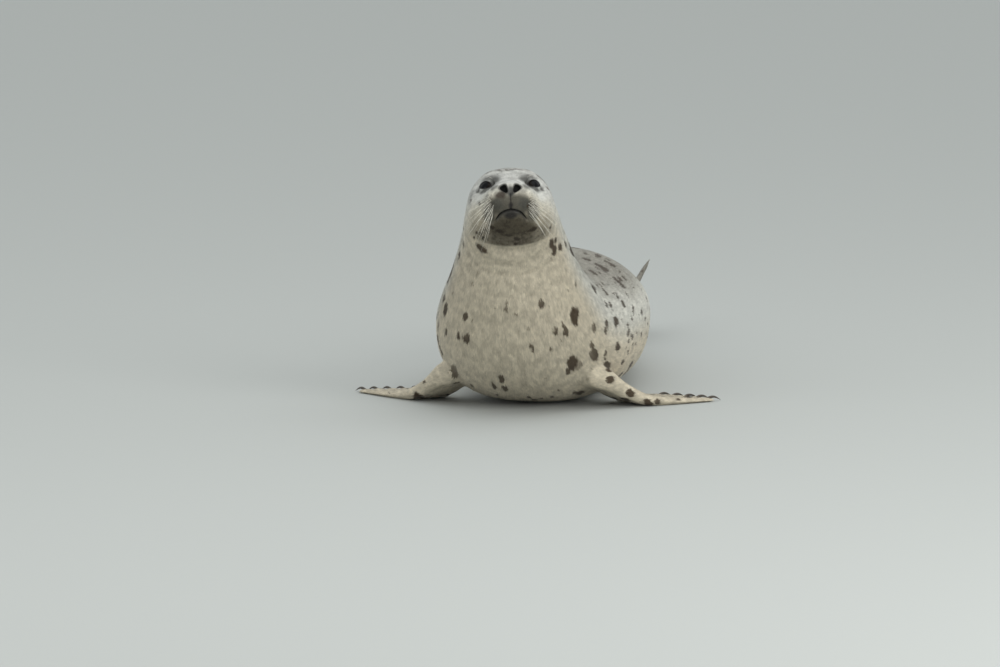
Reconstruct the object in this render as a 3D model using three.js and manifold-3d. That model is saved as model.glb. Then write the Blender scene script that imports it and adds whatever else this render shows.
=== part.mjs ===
// A life-size spotted seal at rest on its belly: neck raised, chin lifted, hindquarters swung to its left.
// Millimetres, +Z up, the animal faces -Y. The floor is z = 0, the origin is under the animal's middle.
// The body is a row of lofts along one bent spine, from the nose tip to the tail. Each flipper is a loft.
import * as THREE from "three";
import { mergeVertices } from "three/addons/utils/BufferGeometryUtils.js";
import { ParametricGeometry } from "three/addons/geometries/ParametricGeometry.js";
import Module from "manifold-3d";

const wasm = await Module();
wasm.setup();

// ---------- driving dimensions ----------
const bodyLength = 1575; // nose tip to tail tip, along the spine
const gap = 0.3; // between nodes that touch
const restHeight = 150; // spine above the floor where the belly carries the weight
const restStation = 820; // distance from the nose tip where that height holds
const headEnd = 205; // distance from the nose tip where the neck starts
const formsEnd = 320; // the forms of the head have faded out here
const spineEnd = 1600;
const spineStep = 2;
const noseRing = 0.5; // the first ring behind the nose tip
const ringSpread = 1.55; // above 1, rings crowd towards the nose
const muzzleEnd = 52;
const jawEnd = 96;

// How the spine lies: distance from the nose tip, then pitch (nose up), yaw and roll in degrees.
const pose = [
  { at: 0, pitch: 28, yaw: 0, roll: 2 },
  { at: 150, pitch: 28, yaw: 1, roll: 2 },
  { at: 210, pitch: 39, yaw: 4, roll: 2 },
  { at: 270, pitch: 52, yaw: 5, roll: 1 },
  { at: 340, pitch: 58, yaw: 6, roll: 0 },
  { at: 400, pitch: 53, yaw: 7, roll: 0 },
  { at: 470, pitch: 37, yaw: 9, roll: 0 },
  { at: 550, pitch: 16, yaw: 11, roll: 0 },
  { at: 660, pitch: 4, yaw: 13, roll: 0 },
  { at: 820, pitch: 1, yaw: 13, roll: 0 },
  { at: 1000, pitch: 6, yaw: 11, roll: 0 },
  { at: 1200, pitch: 11, yaw: 6, roll: 0 },
  { at: 1400, pitch: 9, yaw: 0, roll: 0 },
  { at: 1500, pitch: 5, yaw: -3, roll: 0 },
  { at: spineEnd, pitch: 2, yaw: -4, roll: 0 },
];

// Girth at each station: half the width, the back above the spine, the belly below it, and how square the
// upper and lower half of the section are (2 is an ellipse).
const girth = [
  { at: 0, half: 0, back: 0, belly: 0, upper: 2, lower: 2 },
  { at: 4, half: 23, back: 9, belly: 20, upper: 2, lower: 2 },
  { at: 12, half: 36, back: 15, belly: 37, upper: 2, lower: 2.1 },
  { at: 25, half: 45, back: 22, belly: 48, upper: 2, lower: 2.1 },
  { at: 45, half: 51, back: 35, belly: 57, upper: 2.1, lower: 2.1 },
  { at: 72, half: 63, back: 58, belly: 64, upper: 2.2, lower: 2.1 },
  { at: 100, half: 80, back: 80, belly: 69, upper: 2.28, lower: 2.1 },
  { at: 130, half: 89, back: 91, belly: 73, upper: 2.2, lower: 2.1 },
  { at: 160, half: 93, back: 95, belly: 79, upper: 2.1, lower: 2.1 },
  { at: 200, half: 99, back: 98, belly: 90, upper: 2, lower: 2 },
  { at: 250, half: 107, back: 106, belly: 107, upper: 2, lower: 2 },
  { at: 340, half: 131, back: 122, belly: 130, upper: 2, lower: 2 },
  { at: 430, half: 162, back: 135, belly: 146, upper: 2, lower: 2.1 },
  { at: 520, half: 185, back: 143, belly: 155, upper: 2, lower: 2.3 },
  { at: 650, half: 202, back: 149, belly: 160, upper: 2, lower: 2.6 },
  { at: 820, half: 198, back: 148, belly: 155, upper: 2, lower: 2.6 },
  { at: 1000, half: 170, back: 126, belly: 143, upper: 2, lower: 2.5 },
  { at: 1180, half: 126, back: 94, belly: 116, upper: 2, lower: 2.4 },
  { at: 1320, half: 88, back: 68, belly: 90, upper: 2, lower: 2.2 },
  { at: 1430, half: 58, back: 46, belly: 57, upper: 2, lower: 2 },
  { at: 1480, half: 32, back: 24, belly: 26, upper: 2, lower: 2 },
  { at: 1530, half: 23, back: 12, belly: 12, upper: 2, lower: 2 },
  { at: spineEnd, half: 15, back: 7, belly: 7, upper: 2, lower: 2 },
];

// Forms of the head, in the head's own frame (back from the nose tip, to the side, up): where, how far it
// spreads each way, and which way it is pushed. Those with a side are made on both sides.
const forms = [
  { name: "whisker pad", at: [16, 27, -21], spread: [18, 15, 15], push: [-5, 6, -3] },
  { name: "nose", at: [4, 0, -3], spread: [12, 20, 11], push: [-5, 0, 2] },
  { name: "under lip", at: [8, 0, -49], spread: [13, 30, 8], push: [8, 0, 1] },
  { name: "chin", at: [26, 0, -56], spread: [13, 18, 9], push: [-3, 0, -3] },
  { name: "philtrum", at: [2, 0, -24], spread: [14, 4, 13], push: [4, 0, 0] },
  { name: "bridge hollow", at: [42, 33, 17], spread: [15, 11, 13], push: [2, -4, -3] },
  { name: "brow", at: [86, 42, 62], spread: [19, 18, 13], push: [-2, 1, 3] },
  { name: "forehead furrow", at: [72, 0, 58], spread: [24, 10, 14], push: [0, 0, -2] },
  { name: "cheek", at: [92, 66, -8], spread: [30, 16, 28], push: [-2, 5, 0] },
  { name: "throat crease", at: [160, 0, -82], spread: [7, 72, 26], push: [0, 0, 5] },
  { name: "throat roll", at: [184, 0, -92], spread: [13, 80, 28], push: [0, 0, -5] },
];

// The eyeball, then the opening between its lids: half its length and height and how many degrees its outer
// end is turned up. The lids stand off the ball by lid.
const eye = {
  radius: 21,
  at: [79, 42, 25],
  gaze: [-0.81, 0.51, 0.27],
  long: 13.5,
  tall: 10.3,
  slant: 10,
  lid: 2.3,
};
const ear = { at: [150, 88, 20], radius: 4, depth: 6 };
const nostril = { at: [0, 13, -4], long: 12, wide: 6, deep: 10, slant: 36 };
const nosePad = { at: [6, 0, -5], size: [17, 23, 14] };
// The line between the lips runs straight at the middle and droops to both corners.
const mouth = { middle: -41, droop: 4, per: 20, power: 1.3, corner: 72, groove: 3, grooveDepth: 4 };
// Whiskers of one side: the first root, then what each next place along a row and each next row adds.
const whisker = {
  rows: 3,
  perRow: 4,
  root: { at: 12, nextPlace: 6, angle: 98, anglePerRow: 17, anglePerPlace: 2 },
  drop: { first: 18, perRow: 24, perPlace: -2 },
  sweep: { first: 0.25, perPlace: 0.1 }, // how far it points backwards
  length: 78,
  grow: { perPlace: 0.09, perRow: -0.07, first: 0.8 },
  sag: 0.22,
  trail: 0.1,
  radius: 1.2,
  tip: 0.35,
  sides: 4,
  steps: 4,
};

const foreFlipper = {
  station: 505,
  root: 105, // from the spine to where it starts, inside the shoulder
  turn: 42, // backwards from straight out
  length: 320,
  shorten: 0.24, // the last digit against the first
  crescent: 0,
  lean: 0,
  digits: [-0.8, -0.42, -0.03, 0.36, 0.76],
  // along the flipper: height of its middle, half the width, thickness at a digit and of the web
  shape: [
    { at: 0, height: 88, half: 54, digit: 68, web: 62 },
    { at: 62, height: 64, half: 51, digit: 52, web: 48 },
    { at: 115, height: 33, half: 48, digit: 35, web: 32 },
    { at: 170, height: 12, half: 53, digit: 24, web: 17 },
    { at: 240, height: 6, half: 59, digit: 15, web: 8 },
    { at: 320, height: 3.5, half: 62, digit: 10, web: 5 },
  ],
  claw: { length: 30, radius: 3.4, arch: 5 },
};
const hindFlipper = {
  station: 1395,
  root: 34,
  turn: 80,
  length: 350,
  shorten: 0,
  crescent: 0.1, // the middle digits against the outer two
  lean: 62, // the fan's width direction above the floor
  digits: [-0.86, -0.44, 0, 0.44, 0.86],
  shape: [
    { at: 0, height: 58, half: 40, digit: 60, web: 58 },
    { at: 60, height: 50, half: 42, digit: 46, web: 44 },
    { at: 120, height: 46, half: 50, digit: 32, web: 28 },
    { at: 200, height: 54, half: 64, digit: 20, web: 12 },
    { at: 280, height: 66, half: 79, digit: 13, web: 6 },
    { at: 350, height: 76, half: 88, digit: 9, web: 4.5 },
  ],
  claw: { length: 16, radius: 2.6, arch: 1 },
};
const flipperForm = {
  rings: 8,
  sides: 34,
  ridge: 0.15, // a digit's half width against the flipper's
  scallop: 9, // how far the web falls short between two digits
  lastRing: 0.96,
  rimRing: 0.985,
  rimThickness: 0.6,
  clawFrom: 0.84, // a claw points from here
  clawAt: 0.97, // to here, where it leaves the web
};
const clawForm = { sunk: 7, raised: 1, rise: 1.1, fall: 0.9, taper: 0.85, flat: 0.8, rings: 3, sides: 6 };

// ---------- curves through named sizes ----------
// A smooth curve through rows of sizes that never overshoots them.
function curveThrough(rows, key, variable = (at) => at) {
  const x = rows.map((row) => variable(row.at));
  const y = rows.map((row) => row[key]);
  const slope = y.slice(1).map((value, i) => (value - y[i]) / (x[i + 1] - x[i]));
  const tangent = y.map((_, i) => {
    if (i === 0) return slope[0];
    if (i === y.length - 1) return slope[i - 1];
    const [before, after] = [slope[i - 1], slope[i]];
    return before * after <= 0 ? 0 : (2 * before * after) / (before + after);
  });
  return (at) => {
    const here = THREE.MathUtils.clamp(variable(at), x[0], x[x.length - 1]);
    let i = 0;
    while (i < x.length - 2 && here > x[i + 1]) i += 1;
    const span = x[i + 1] - x[i];
    const t = (here - x[i]) / span;
    const [t2, t3] = [t * t, t * t * t];
    return (
      (2 * t3 - 3 * t2 + 1) * y[i] +
      (t3 - 2 * t2 + t) * span * tangent[i] +
      (3 * t2 - 2 * t3) * y[i + 1] +
      (t3 - t2) * span * tangent[i + 1]
    );
  };
}

const pitchAt = curveThrough(pose, "pitch");
const yawAt = curveThrough(pose, "yaw");
const rollAt = curveThrough(pose, "roll");
const [halfAt, backAt, bellyAt, upperAt, lowerAt] = ["half", "back", "belly", "upper", "lower"].map((key) =>
  curveThrough(girth, key, Math.sqrt),
);

// ---------- spine ----------
const rad = THREE.MathUtils.degToRad;

function directionsAt(at) {
  const [pitch, yaw, roll] = [rad(pitchAt(at)), rad(yawAt(at)), rad(rollAt(at))];
  const back = new THREE.Vector3(
    Math.sin(yaw) * Math.cos(pitch),
    Math.cos(yaw) * Math.cos(pitch),
    -Math.sin(pitch),
  );
  const level = new THREE.Vector3(Math.cos(yaw), -Math.sin(yaw), 0);
  const upright = new THREE.Vector3().crossVectors(level, back);
  const side = level.clone().multiplyScalar(Math.cos(roll)).addScaledVector(upright, Math.sin(roll));
  const up = upright.multiplyScalar(Math.cos(roll)).addScaledVector(level, -Math.sin(roll));
  return { back, side, up };
}

const spinePoints = [new THREE.Vector3()];
for (let at = spineStep; at <= spineEnd; at += spineStep) {
  const last = spinePoints[spinePoints.length - 1];
  spinePoints.push(last.clone().addScaledVector(directionsAt(at - spineStep / 2).back, spineStep));
}
const lift = restHeight - spinePoints[restStation / spineStep].z;
spinePoints.forEach((point) => (point.z += lift));

function spineAt(at) {
  const place = THREE.MathUtils.clamp(at / spineStep, 0, spinePoints.length - 1.001);
  const i = Math.floor(place);
  return spinePoints[i].clone().lerp(spinePoints[i + 1], place - i);
}

// A point given in the frame of the spine at one station: back, to the side, up.
function fromSpine(at, back, side, up) {
  const axes = directionsAt(at);
  return spineAt(at)
    .addScaledVector(axes.back, back)
    .addScaledVector(axes.side, side)
    .addScaledVector(axes.up, up);
}
const fromHead = (back, side, up) => fromSpine(0, back, side, up);

// ---------- body surface ----------
const mirrored = ([back, side, up], sign) => [back, sign * side, up];
function bulge(form, point, sign) {
  const reach = mirrored(form.at, sign).map((middle, i) => (point[i] - middle) / form.spread[i]);
  return Math.exp(-0.5 * reach.reduce((sum, value) => sum + value * value, 0));
}

const tipReach = 12; // growing also lengthens the nose as far back as this

// The skin at a distance from the nose tip and an angle from the middle of the back, grown outwards.
function skinPoint(at, angle, grow = 0) {
  const [sine, cosine] = [Math.sin(angle), Math.cos(angle)];
  const power = 2 / (cosine > 0 ? upperAt(at) : lowerAt(at));
  const tall = cosine > 0 ? backAt(at) : bellyAt(at);
  const point = [
    at,
    Math.sign(sine) * Math.abs(sine) ** power * (halfAt(at) + grow),
    Math.sign(cosine) * Math.abs(cosine) ** power * (tall + grow),
  ];
  const moved = [...point];
  if (at < formsEnd)
    for (const form of forms)
      for (const sign of form.at[1] ? [-1, 1] : [1]) {
        const share = bulge(form, point, sign);
        mirrored(form.push, sign).forEach((push, i) => (moved[i] += share * push));
      }
  return fromSpine(at, moved[0] - at - grow * Math.max(0, 1 - at / tipReach), moved[1], moved[2]);
}

// ---------- solids ----------
function solid(geometry) {
  const bare = new THREE.BufferGeometry().setAttribute("position", geometry.getAttribute("position"));
  if (geometry.index) bare.setIndex(geometry.index);
  const merged = mergeVertices(bare, 1e-3);
  const corners = [];
  for (let i = 0; i < merged.index.count; i += 3) {
    const [a, b, c] = [0, 1, 2].map((k) => merged.index.getX(i + k));
    if (a !== b && b !== c && c !== a) corners.push(a, b, c);
  }
  const build = (triVerts) =>
    new wasm.Manifold(
      new wasm.Mesh({
        numProp: 3,
        vertProperties: new Float32Array(merged.attributes.position.array),
        triVerts: new Uint32Array(triVerts),
      }),
    );
  const made = build(corners);
  return made.volume() > 0 ? made : build(corners.reverse());
}

// A closed loft: ring(i, turn) gives a point of ring i, and each end closes on close(end, turn).
function loft(rings, sides, ring, close) {
  const wrap = (turn) => (turn > 1 - 1e-9 ? 0 : turn);
  return solid(
    new ParametricGeometry(
      (turn, along, target) => {
        const i = Math.round(along * (rings + 1)) - 1;
        target.copy(i < 0 || i === rings ? close(i < 0 ? 0 : 1, wrap(turn)) : ring(i, wrap(turn)));
      },
      sides,
      rings + 1,
    ),
  );
}

// A length of the body between two stations. Its rings are closer together towards the nose.
function bodyPart(from, to, rings, sides, grow = 0) {
  const [first, last] = [Math.max(from, noseRing), to].map((at) => at ** (1 / ringSpread));
  const station = (i) => (first + ((last - first) * i) / (rings - 1)) ** ringSpread;
  return loft(
    rings,
    sides,
    (i, turn) => skinPoint(station(i), turn * 2 * Math.PI, grow),
    (end) => (end || from ? spineAt(end ? to : from) : skinPoint(0, 0, grow)),
  );
}

const largest = (made) =>
  made.decompose().reduce((best, piece) => (piece.volume() > best.volume() ? piece : best));
const onFloor = (made) => made.trimByPlane([0, 0, 1], 0);
const ellipsoid = (radii, place, turn = new THREE.Matrix4(), [around, down] = [16, 11]) => {
  const geometry = new THREE.SphereGeometry(1, around, down).scale(...radii).applyMatrix4(turn);
  return solid(geometry.translate(...place.toArray()));
};

// ---------- head ----------
const [headRings, headSides] = [24, 50];
// Shapes drawn across the head (side, up) and pulled backwards along it from one distance to another.
const headAxes = directionsAt(0);
const acrossHead = new THREE.Matrix4()
  .makeBasis(headAxes.side, headAxes.up, headAxes.back)
  .setPosition(spineAt(0));
function drawnOnHead(points, from, to) {
  const outline = new THREE.Shape(points.map(([side, up]) => new THREE.Vector2(side, up)));
  const geometry = new THREE.ExtrudeGeometry(outline, { depth: to - from, bevelEnabled: false });
  return solid(geometry.translate(0, 0, from).applyMatrix4(acrossHead));
}
const headTurn = new THREE.Matrix4().makeBasis(headAxes.back, headAxes.side, headAxes.up);

// Cutting shapes reach this far past the head.
const clear = { side: 110, down: 300, ahead: -40 };
function lipLine(offset, steps = 24) {
  return Array.from({ length: steps + 1 }, (_, i) => {
    const side = clear.side * ((2 * i) / steps - 1);
    return [side, mouth.middle - mouth.droop * (Math.abs(side) / mouth.per) ** mouth.power + offset];
  });
}
function belowMouth(offset) {
  const corners = [
    [clear.side, -clear.down],
    [-clear.side, -clear.down],
  ];
  return drawnOnHead([...lipLine(offset), ...corners], clear.ahead, jawEnd + offset);
}
function mouthGroove() {
  const slot = [...lipLine(mouth.groove / 2), ...lipLine(-mouth.groove / 2).reverse()];
  const floor = bodyPart(0, headEnd, headRings, headSides, -mouth.grooveDepth);
  return drawnOnHead(slot, clear.ahead, mouth.corner).subtract(floor);
}

function eyeParts(sign) {
  const centre = fromHead(...mirrored(eye.at, sign));
  const gaze = new THREE.Vector3(...mirrored(eye.gaze, sign)).transformDirection(headTurn);
  const along = new THREE.Vector3().crossVectors(headAxes.up, gaze).normalize();
  const tall = new THREE.Vector3().crossVectors(gaze, along);
  const slit = new THREE.Shape();
  slit.absellipse(0, 0, eye.long, eye.tall, 0, 2 * Math.PI, false, sign * rad(eye.slant));
  const drawnOut = { depth: 3 * eye.radius, bevelEnabled: false, curveSegments: 10 };
  const opening = new THREE.ExtrudeGeometry(slit, drawnOut);
  opening.applyMatrix4(new THREE.Matrix4().makeBasis(along, tall, gaze).setPosition(centre));
  const ball = (grow) => ellipsoid(Array(3).fill(eye.radius + grow), centre);
  return { ball: ball(0), socket: ball(gap), lids: ball(eye.lid), opening: solid(opening) };
}

function nostrilCut(sign) {
  const turn = headTurn.clone().multiply(new THREE.Matrix4().makeRotationX(-sign * rad(nostril.slant)));
  const place = fromHead(...mirrored(nostril.at, sign));
  return ellipsoid([nostril.deep, nostril.wide, nostril.long], place, turn, [12, 8]);
}

// One whisker, from under the skin of its pad outwards, back and down.
function whiskerSolid(sign, row, place) {
  const { root, drop, sweep, grow } = whisker;
  const angle = rad(root.angle + root.anglePerRow * row + root.anglePerPlace * place);
  const start = skinPoint(root.at + root.nextPlace * place, sign * angle);
  const fall = rad(drop.first + drop.perRow * row + drop.perPlace * place);
  const out = new THREE.Vector3(
    sweep.first + sweep.perPlace * place,
    sign * Math.cos(fall),
    -Math.sin(fall),
  ).transformDirection(headTurn);
  const length = whisker.length * (grow.first + grow.perPlace * place + grow.perRow * row);
  const path = (t) =>
    start
      .clone()
      .addScaledVector(out, length * t)
      .addScaledVector(headAxes.up, -whisker.sag * length * t * t)
      .addScaledVector(headAxes.back, whisker.trail * length * t * t);
  const turnA = new THREE.Vector3().crossVectors(out, headAxes.up).normalize();
  const turnB = new THREE.Vector3().crossVectors(turnA, out);
  const sunk = 0.06; // the share of its length that is under the skin
  return loft(
    whisker.steps,
    whisker.sides,
    (i, turn) => {
      const t = i / (whisker.steps - 1);
      const radius = THREE.MathUtils.lerp(whisker.radius, whisker.tip, t);
      return path(t * (1 + sunk) - sunk)
        .addScaledVector(turnA, radius * Math.cos(2 * Math.PI * turn))
        .addScaledVector(turnB, radius * Math.sin(2 * Math.PI * turn));
    },
    (end) => path(end ? 1 : -sunk),
  );
}

function headNodes() {
  const eyes = [1, -1].map(eyeParts);
  let whole = bodyPart(0, headEnd, headRings, headSides);
  for (const { lids, opening, socket } of eyes) whole = whole.add(lids).subtract(opening).subtract(socket);
  for (const sign of [1, -1]) {
    const place = fromHead(...mirrored(ear.at, sign));
    whole = whole.subtract(ellipsoid([ear.radius, ear.depth, ear.radius], place, headTurn, [10, 8]));
  }
  whole = whole.subtract(mouthGroove());
  const jaw = whole.intersect(belowMouth(-gap / 2));
  const upper = whole.subtract(belowMouth(gap / 2));
  // what lies behind (1) or before (-1) a distance from the nose tip
  const beyond = (at, way) => {
    const normal = headAxes.back.clone().multiplyScalar(way);
    return upper.trimByPlane(normal.toArray(), normal.dot(fromHead(at, 0, 0)));
  };
  const cranium = beyond(muzzleEnd + gap / 2, 1);
  let muzzle = beyond(muzzleEnd - gap / 2, -1);
  for (const sign of [1, -1])
    for (let row = 0; row < whisker.rows; row += 1)
      for (let place = 0; place < whisker.perRow; place += 1)
        muzzle = muzzle.add(whiskerSolid(sign, row, place));
  const pad = (grow) => {
    const radii = nosePad.size.map((size) => size + grow);
    return ellipsoid(radii, fromHead(...nosePad.at), headTurn);
  };
  let nose = muzzle.intersect(pad(0));
  for (const sign of [1, -1]) nose = nose.subtract(nostrilCut(sign));
  return {
    head: largest(cranium),
    muzzle: largest(muzzle.subtract(pad(gap))),
    nose: largest(nose),
    lower_jaw: largest(jaw),
    eye_left: eyes[0].ball,
    eye_right: eyes[1].ball,
  };
}

// ---------- flippers ----------
function flipperMaker(spec, sign) {
  const yaw = rad(yawAt(spec.station));
  const level = new THREE.Vector3(Math.cos(yaw), -Math.sin(yaw), 0).multiplyScalar(sign);
  const rearwards = new THREE.Vector3(Math.sin(yaw), Math.cos(yaw), 0);
  const turn = rad(spec.turn);
  const out = level.clone().multiplyScalar(Math.cos(turn)).addScaledVector(rearwards, Math.sin(turn));
  const flat = level.clone().multiplyScalar(Math.sin(turn)).addScaledVector(rearwards, -Math.cos(turn));
  const upwards = new THREE.Vector3(0, 0, 1);
  const lean = rad(spec.lean);
  const across = flat.multiplyScalar(Math.cos(lean)).addScaledVector(upwards, Math.sin(lean));
  const normal = new THREE.Vector3().crossVectors(out, across).normalize().multiplyScalar(-sign);
  const start = spineAt(spec.station).setZ(0).addScaledVector(level, spec.root);
  const [heightAt, halfWidthAt, digitAt, webAt] = ["height", "half", "digit", "web"].map((key) =>
    curveThrough(spec.shape, key),
  );
  const { rings, sides, lastRing, rimRing, rimThickness, clawFrom, clawAt } = flipperForm;
  const overDigit = (v, digit) => Math.exp(-(((v - digit) / flipperForm.ridge) ** 2));
  const ridge = (v) => Math.min(1, spec.digits.reduce((sum, digit) => sum + overDigit(v, digit), 0));

  // u runs from the root to the tips, v from the leading edge (-1) to the trailing edge (1), and face is 1
  // above, -1 below and 0 between.
  function place(u, v, face) {
    const cutBack = spec.shorten * ((v + 1) / 2) ** 1.2 + spec.crescent * (1 - v * v);
    const shortfall = spec.length * cutBack + flipperForm.scallop * (1 - ridge(v));
    const far = spec.length * u;
    const edge = Math.sqrt(Math.max(0, 1 - v ** 8));
    const full = THREE.MathUtils.lerp(webAt(far), digitAt(far), ridge(v));
    const thick = full * edge * (u > lastRing ? rimThickness : 1);
    return start
      .clone()
      .addScaledVector(out, far - shortfall * u * u)
      .addScaledVector(upwards, heightAt(far))
      .addScaledVector(across, -v * halfWidthAt(far))
      .addScaledVector(normal, (face * thick) / 2);
  }
  // evenly spaced points with some drawn to both edges
  const acrossAt = (t) => THREE.MathUtils.lerp(2 * t - 1, -Math.cos(Math.PI * t), 0.55);
  const onRing = (turnShare, u, thickness) => {
    const face = turnShare < 0.5 ? 1 : -1;
    const t = face > 0 ? 2 * turnShare : 2 - 2 * turnShare;
    return place(u, acrossAt(t), face * thickness);
  };
  const web = loft(
    rings,
    sides,
    (i, share) => onRing(share, i < rings - 1 ? (lastRing * i) / (rings - 2) : rimRing, 1),
    (end, share) => onRing(share, end, 0),
  );

  // A claw arches up out of the web and comes down to its point.
  function claw(v, grow) {
    const { length, radius, arch } = spec.claw;
    const { raised, rise, fall, taper, flat } = clawForm;
    const base = place(clawAt, v, 0);
    const along = base.clone().sub(place(clawFrom, v, 0)).setZ(0).normalize();
    const aside = new THREE.Vector3().crossVectors(along, upwards).normalize();
    const sunk = clawForm.sunk + grow;
    const path = (t) =>
      base
        .clone()
        .addScaledVector(along, -sunk + (length + sunk + grow) * t)
        .addScaledVector(upwards, raised + arch * (rise * Math.sin(Math.PI * t) - fall * t * t));
    return loft(
      clawForm.rings,
      clawForm.sides,
      (i, share) => {
        const t = i / (clawForm.rings - 1);
        const size = radius * (1 - taper * t ** 1.4) + grow;
        return path(t)
          .addScaledVector(aside, size * flat * Math.cos(2 * Math.PI * share))
          .addScaledVector(upwards, size * Math.sin(2 * Math.PI * share));
      },
      (end) => path(end),
    );
  }
  return { web, claw, digits: spec.digits };
}

// ---------- colours ----------
const coat = new THREE.MeshStandardMaterial({ color: 0xb9b4a6, roughness: 0.75, metalness: 0 });
const paleCoat = new THREE.MeshStandardMaterial({ color: 0xcac6ba, roughness: 0.75, metalness: 0 });
const darkCoat = new THREE.MeshStandardMaterial({ color: 0x77736a, roughness: 0.7, metalness: 0 });
const noseSkin = new THREE.MeshStandardMaterial({ color: 0x33322f, roughness: 0.4, metalness: 0 });
const eyeGloss = new THREE.MeshStandardMaterial({ color: 0x120e0c, roughness: 0.05, metalness: 0 });
const clawHorn = new THREE.MeshStandardMaterial({ color: 0x2b2520, roughness: 0.35, metalness: 0 });

// ---------- the animal ----------
const seal = new THREE.Group();

function node(name, made, material) {
  const { numProp, numVert, vertProperties, triVerts } = made.getMesh();
  const places = new Float32Array(numVert * 3);
  for (let i = 0; i < numVert; i += 1)
    places.set(vertProperties.subarray(i * numProp, i * numProp + 3), i * 3);
  const geometry = new THREE.BufferGeometry()
    .setAttribute("position", new THREE.BufferAttribute(places, 3))
    .setIndex(new THREE.BufferAttribute(triVerts, 1));
  geometry.computeBoundingBox();
  const middle = geometry.boundingBox.getCenter(new THREE.Vector3());
  geometry.translate(-middle.x, -middle.y, -middle.z);
  geometry.computeVertexNormals();
  const mesh = new THREE.Mesh(geometry, material);
  mesh.name = name;
  mesh.position.copy(middle);
  seal.add(mesh);
}

const faceMaterials = {
  nose: noseSkin,
  eye_left: eyeGloss,
  eye_right: eyeGloss,
  muzzle: paleCoat,
  lower_jaw: darkCoat,
};
Object.entries(headNodes()).forEach(([name, made]) => node(name, made, faceMaterials[name] || coat));

const lengths = [
  { name: "neck", from: headEnd + gap, to: 340, rings: 8 },
  { name: "shoulders", from: 340 + gap, to: 565, rings: 10 },
  { name: "torso", from: 565 + gap, to: 860, rings: 9 },
  { name: "loin", from: 860 + gap, to: 1160, rings: 8 },
  { name: "hindquarters", from: 1160 + gap, to: 1430, rings: 8 },
  { name: "tail", from: 1430 + gap, to: bodyLength, rings: 7 },
];
const bodySides = 32;
const grown = {};
for (const { name, from, to, rings } of lengths) {
  node(name, onFloor(bodyPart(from, to, rings, bodySides)), coat);
  grown[name] = bodyPart(from - gap, to + gap, rings, bodySides, gap);
}

for (const [side, sign] of [
  ["left", 1],
  ["right", -1],
])
  for (const [kind, spec, neighbours] of [
    ["fore", foreFlipper, ["shoulders", "torso"]],
    ["hind", hindFlipper, ["hindquarters", "tail"]],
  ]) {
    const { web, claw, digits } = flipperMaker(spec, sign);
    let flipper = onFloor(web);
    for (const neighbour of neighbours) flipper = flipper.subtract(grown[neighbour]);
    digits.forEach((v, i) => {
      flipper = flipper.subtract(claw(v, gap));
      node(`${kind}_claw_${side}_${i + 1}`, onFloor(claw(v, 0)), clawHorn);
    });
    node(`${kind}_flipper_${side}`, largest(flipper), darkCoat);
  }

// The origin goes under the middle of the animal.
const middle = new THREE.Box3().setFromObject(seal).getCenter(new THREE.Vector3());
seal.position.set(-middle.x, -middle.y, 0);

export default seal;
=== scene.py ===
import math

import bmesh
import bpy
import numpy as np
from mathutils import Matrix, Vector, kdtree


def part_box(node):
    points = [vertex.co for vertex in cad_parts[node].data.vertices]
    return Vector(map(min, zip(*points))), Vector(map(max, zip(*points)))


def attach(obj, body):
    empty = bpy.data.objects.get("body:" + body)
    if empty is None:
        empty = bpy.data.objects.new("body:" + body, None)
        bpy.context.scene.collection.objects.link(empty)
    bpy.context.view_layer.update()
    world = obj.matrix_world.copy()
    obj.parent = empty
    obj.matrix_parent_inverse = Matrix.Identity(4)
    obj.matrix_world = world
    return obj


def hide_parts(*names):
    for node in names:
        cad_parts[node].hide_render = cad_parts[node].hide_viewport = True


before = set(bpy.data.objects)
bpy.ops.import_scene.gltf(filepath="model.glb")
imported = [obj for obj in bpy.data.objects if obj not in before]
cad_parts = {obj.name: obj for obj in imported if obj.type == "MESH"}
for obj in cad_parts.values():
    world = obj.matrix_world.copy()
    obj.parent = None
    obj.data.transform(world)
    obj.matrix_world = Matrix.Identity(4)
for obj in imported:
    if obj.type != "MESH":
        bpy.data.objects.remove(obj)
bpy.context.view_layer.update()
mm = 0.001
draws = np.random.default_rng(7)


def addObject(name, data):
    made = bpy.data.objects.new(name, data)
    bpy.context.collection.objects.link(made)
    return made


def connect(tree, node, values):
    # links what comes from another node, and sets the rest on the node's own sockets
    for key, value in values.items():
        if isinstance(value, bpy.types.NodeSocket):
            tree.links.new(value, node.inputs[key])
        else:
            node.inputs[key].default_value = value


def newMaterial(name, fixed):
    # a material, its node tree and its shader
    material = bpy.data.materials.new(name)
    material.use_nodes = True
    tree = material.node_tree
    shader = tree.nodes["Principled BSDF"]
    connect(tree, shader, fixed)
    return material, tree, shader


# The camera stands far off with a long lens, a little above the animal.
shot = {
    "lens": 400, "sensor": 36, "elevation": 8, "distance": 22.7, "clipEnd": 400,
    "imageWidth": 1000, "imageHeight": 667,
    "eyes": (509.8, 189.5),  # the middle between the eyes in the image
}
eyeBoxes = [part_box("eye_left"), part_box("eye_right")]
target = sum(((low + high) / 2 for low, high in eyeBoxes), Vector()) / 2
tilt = math.radians(shot["elevation"])
cameraBack = Vector((0, -math.cos(tilt), math.sin(tilt)))
cameraUp = Vector((0, math.sin(tilt), math.cos(tilt)))
perPixel = shot["distance"] * shot["sensor"] / shot["lens"] / shot["imageWidth"]
aside = (shot["eyes"][0] - shot["imageWidth"] / 2) * perPixel
above = (shot["imageHeight"] / 2 - shot["eyes"][1]) * perPixel
cameraData = bpy.data.cameras.new("camera")
cameraData.lens, cameraData.clip_end = shot["lens"], shot["clipEnd"]
camera = addObject("camera", cameraData)
camera.location = target - Vector((aside, 0, 0)) - cameraUp * above + cameraBack * shot["distance"]
camera.rotation_euler = cameraBack.to_track_quat("Z", "Y").to_euler()
bpy.context.scene.camera = camera

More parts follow.
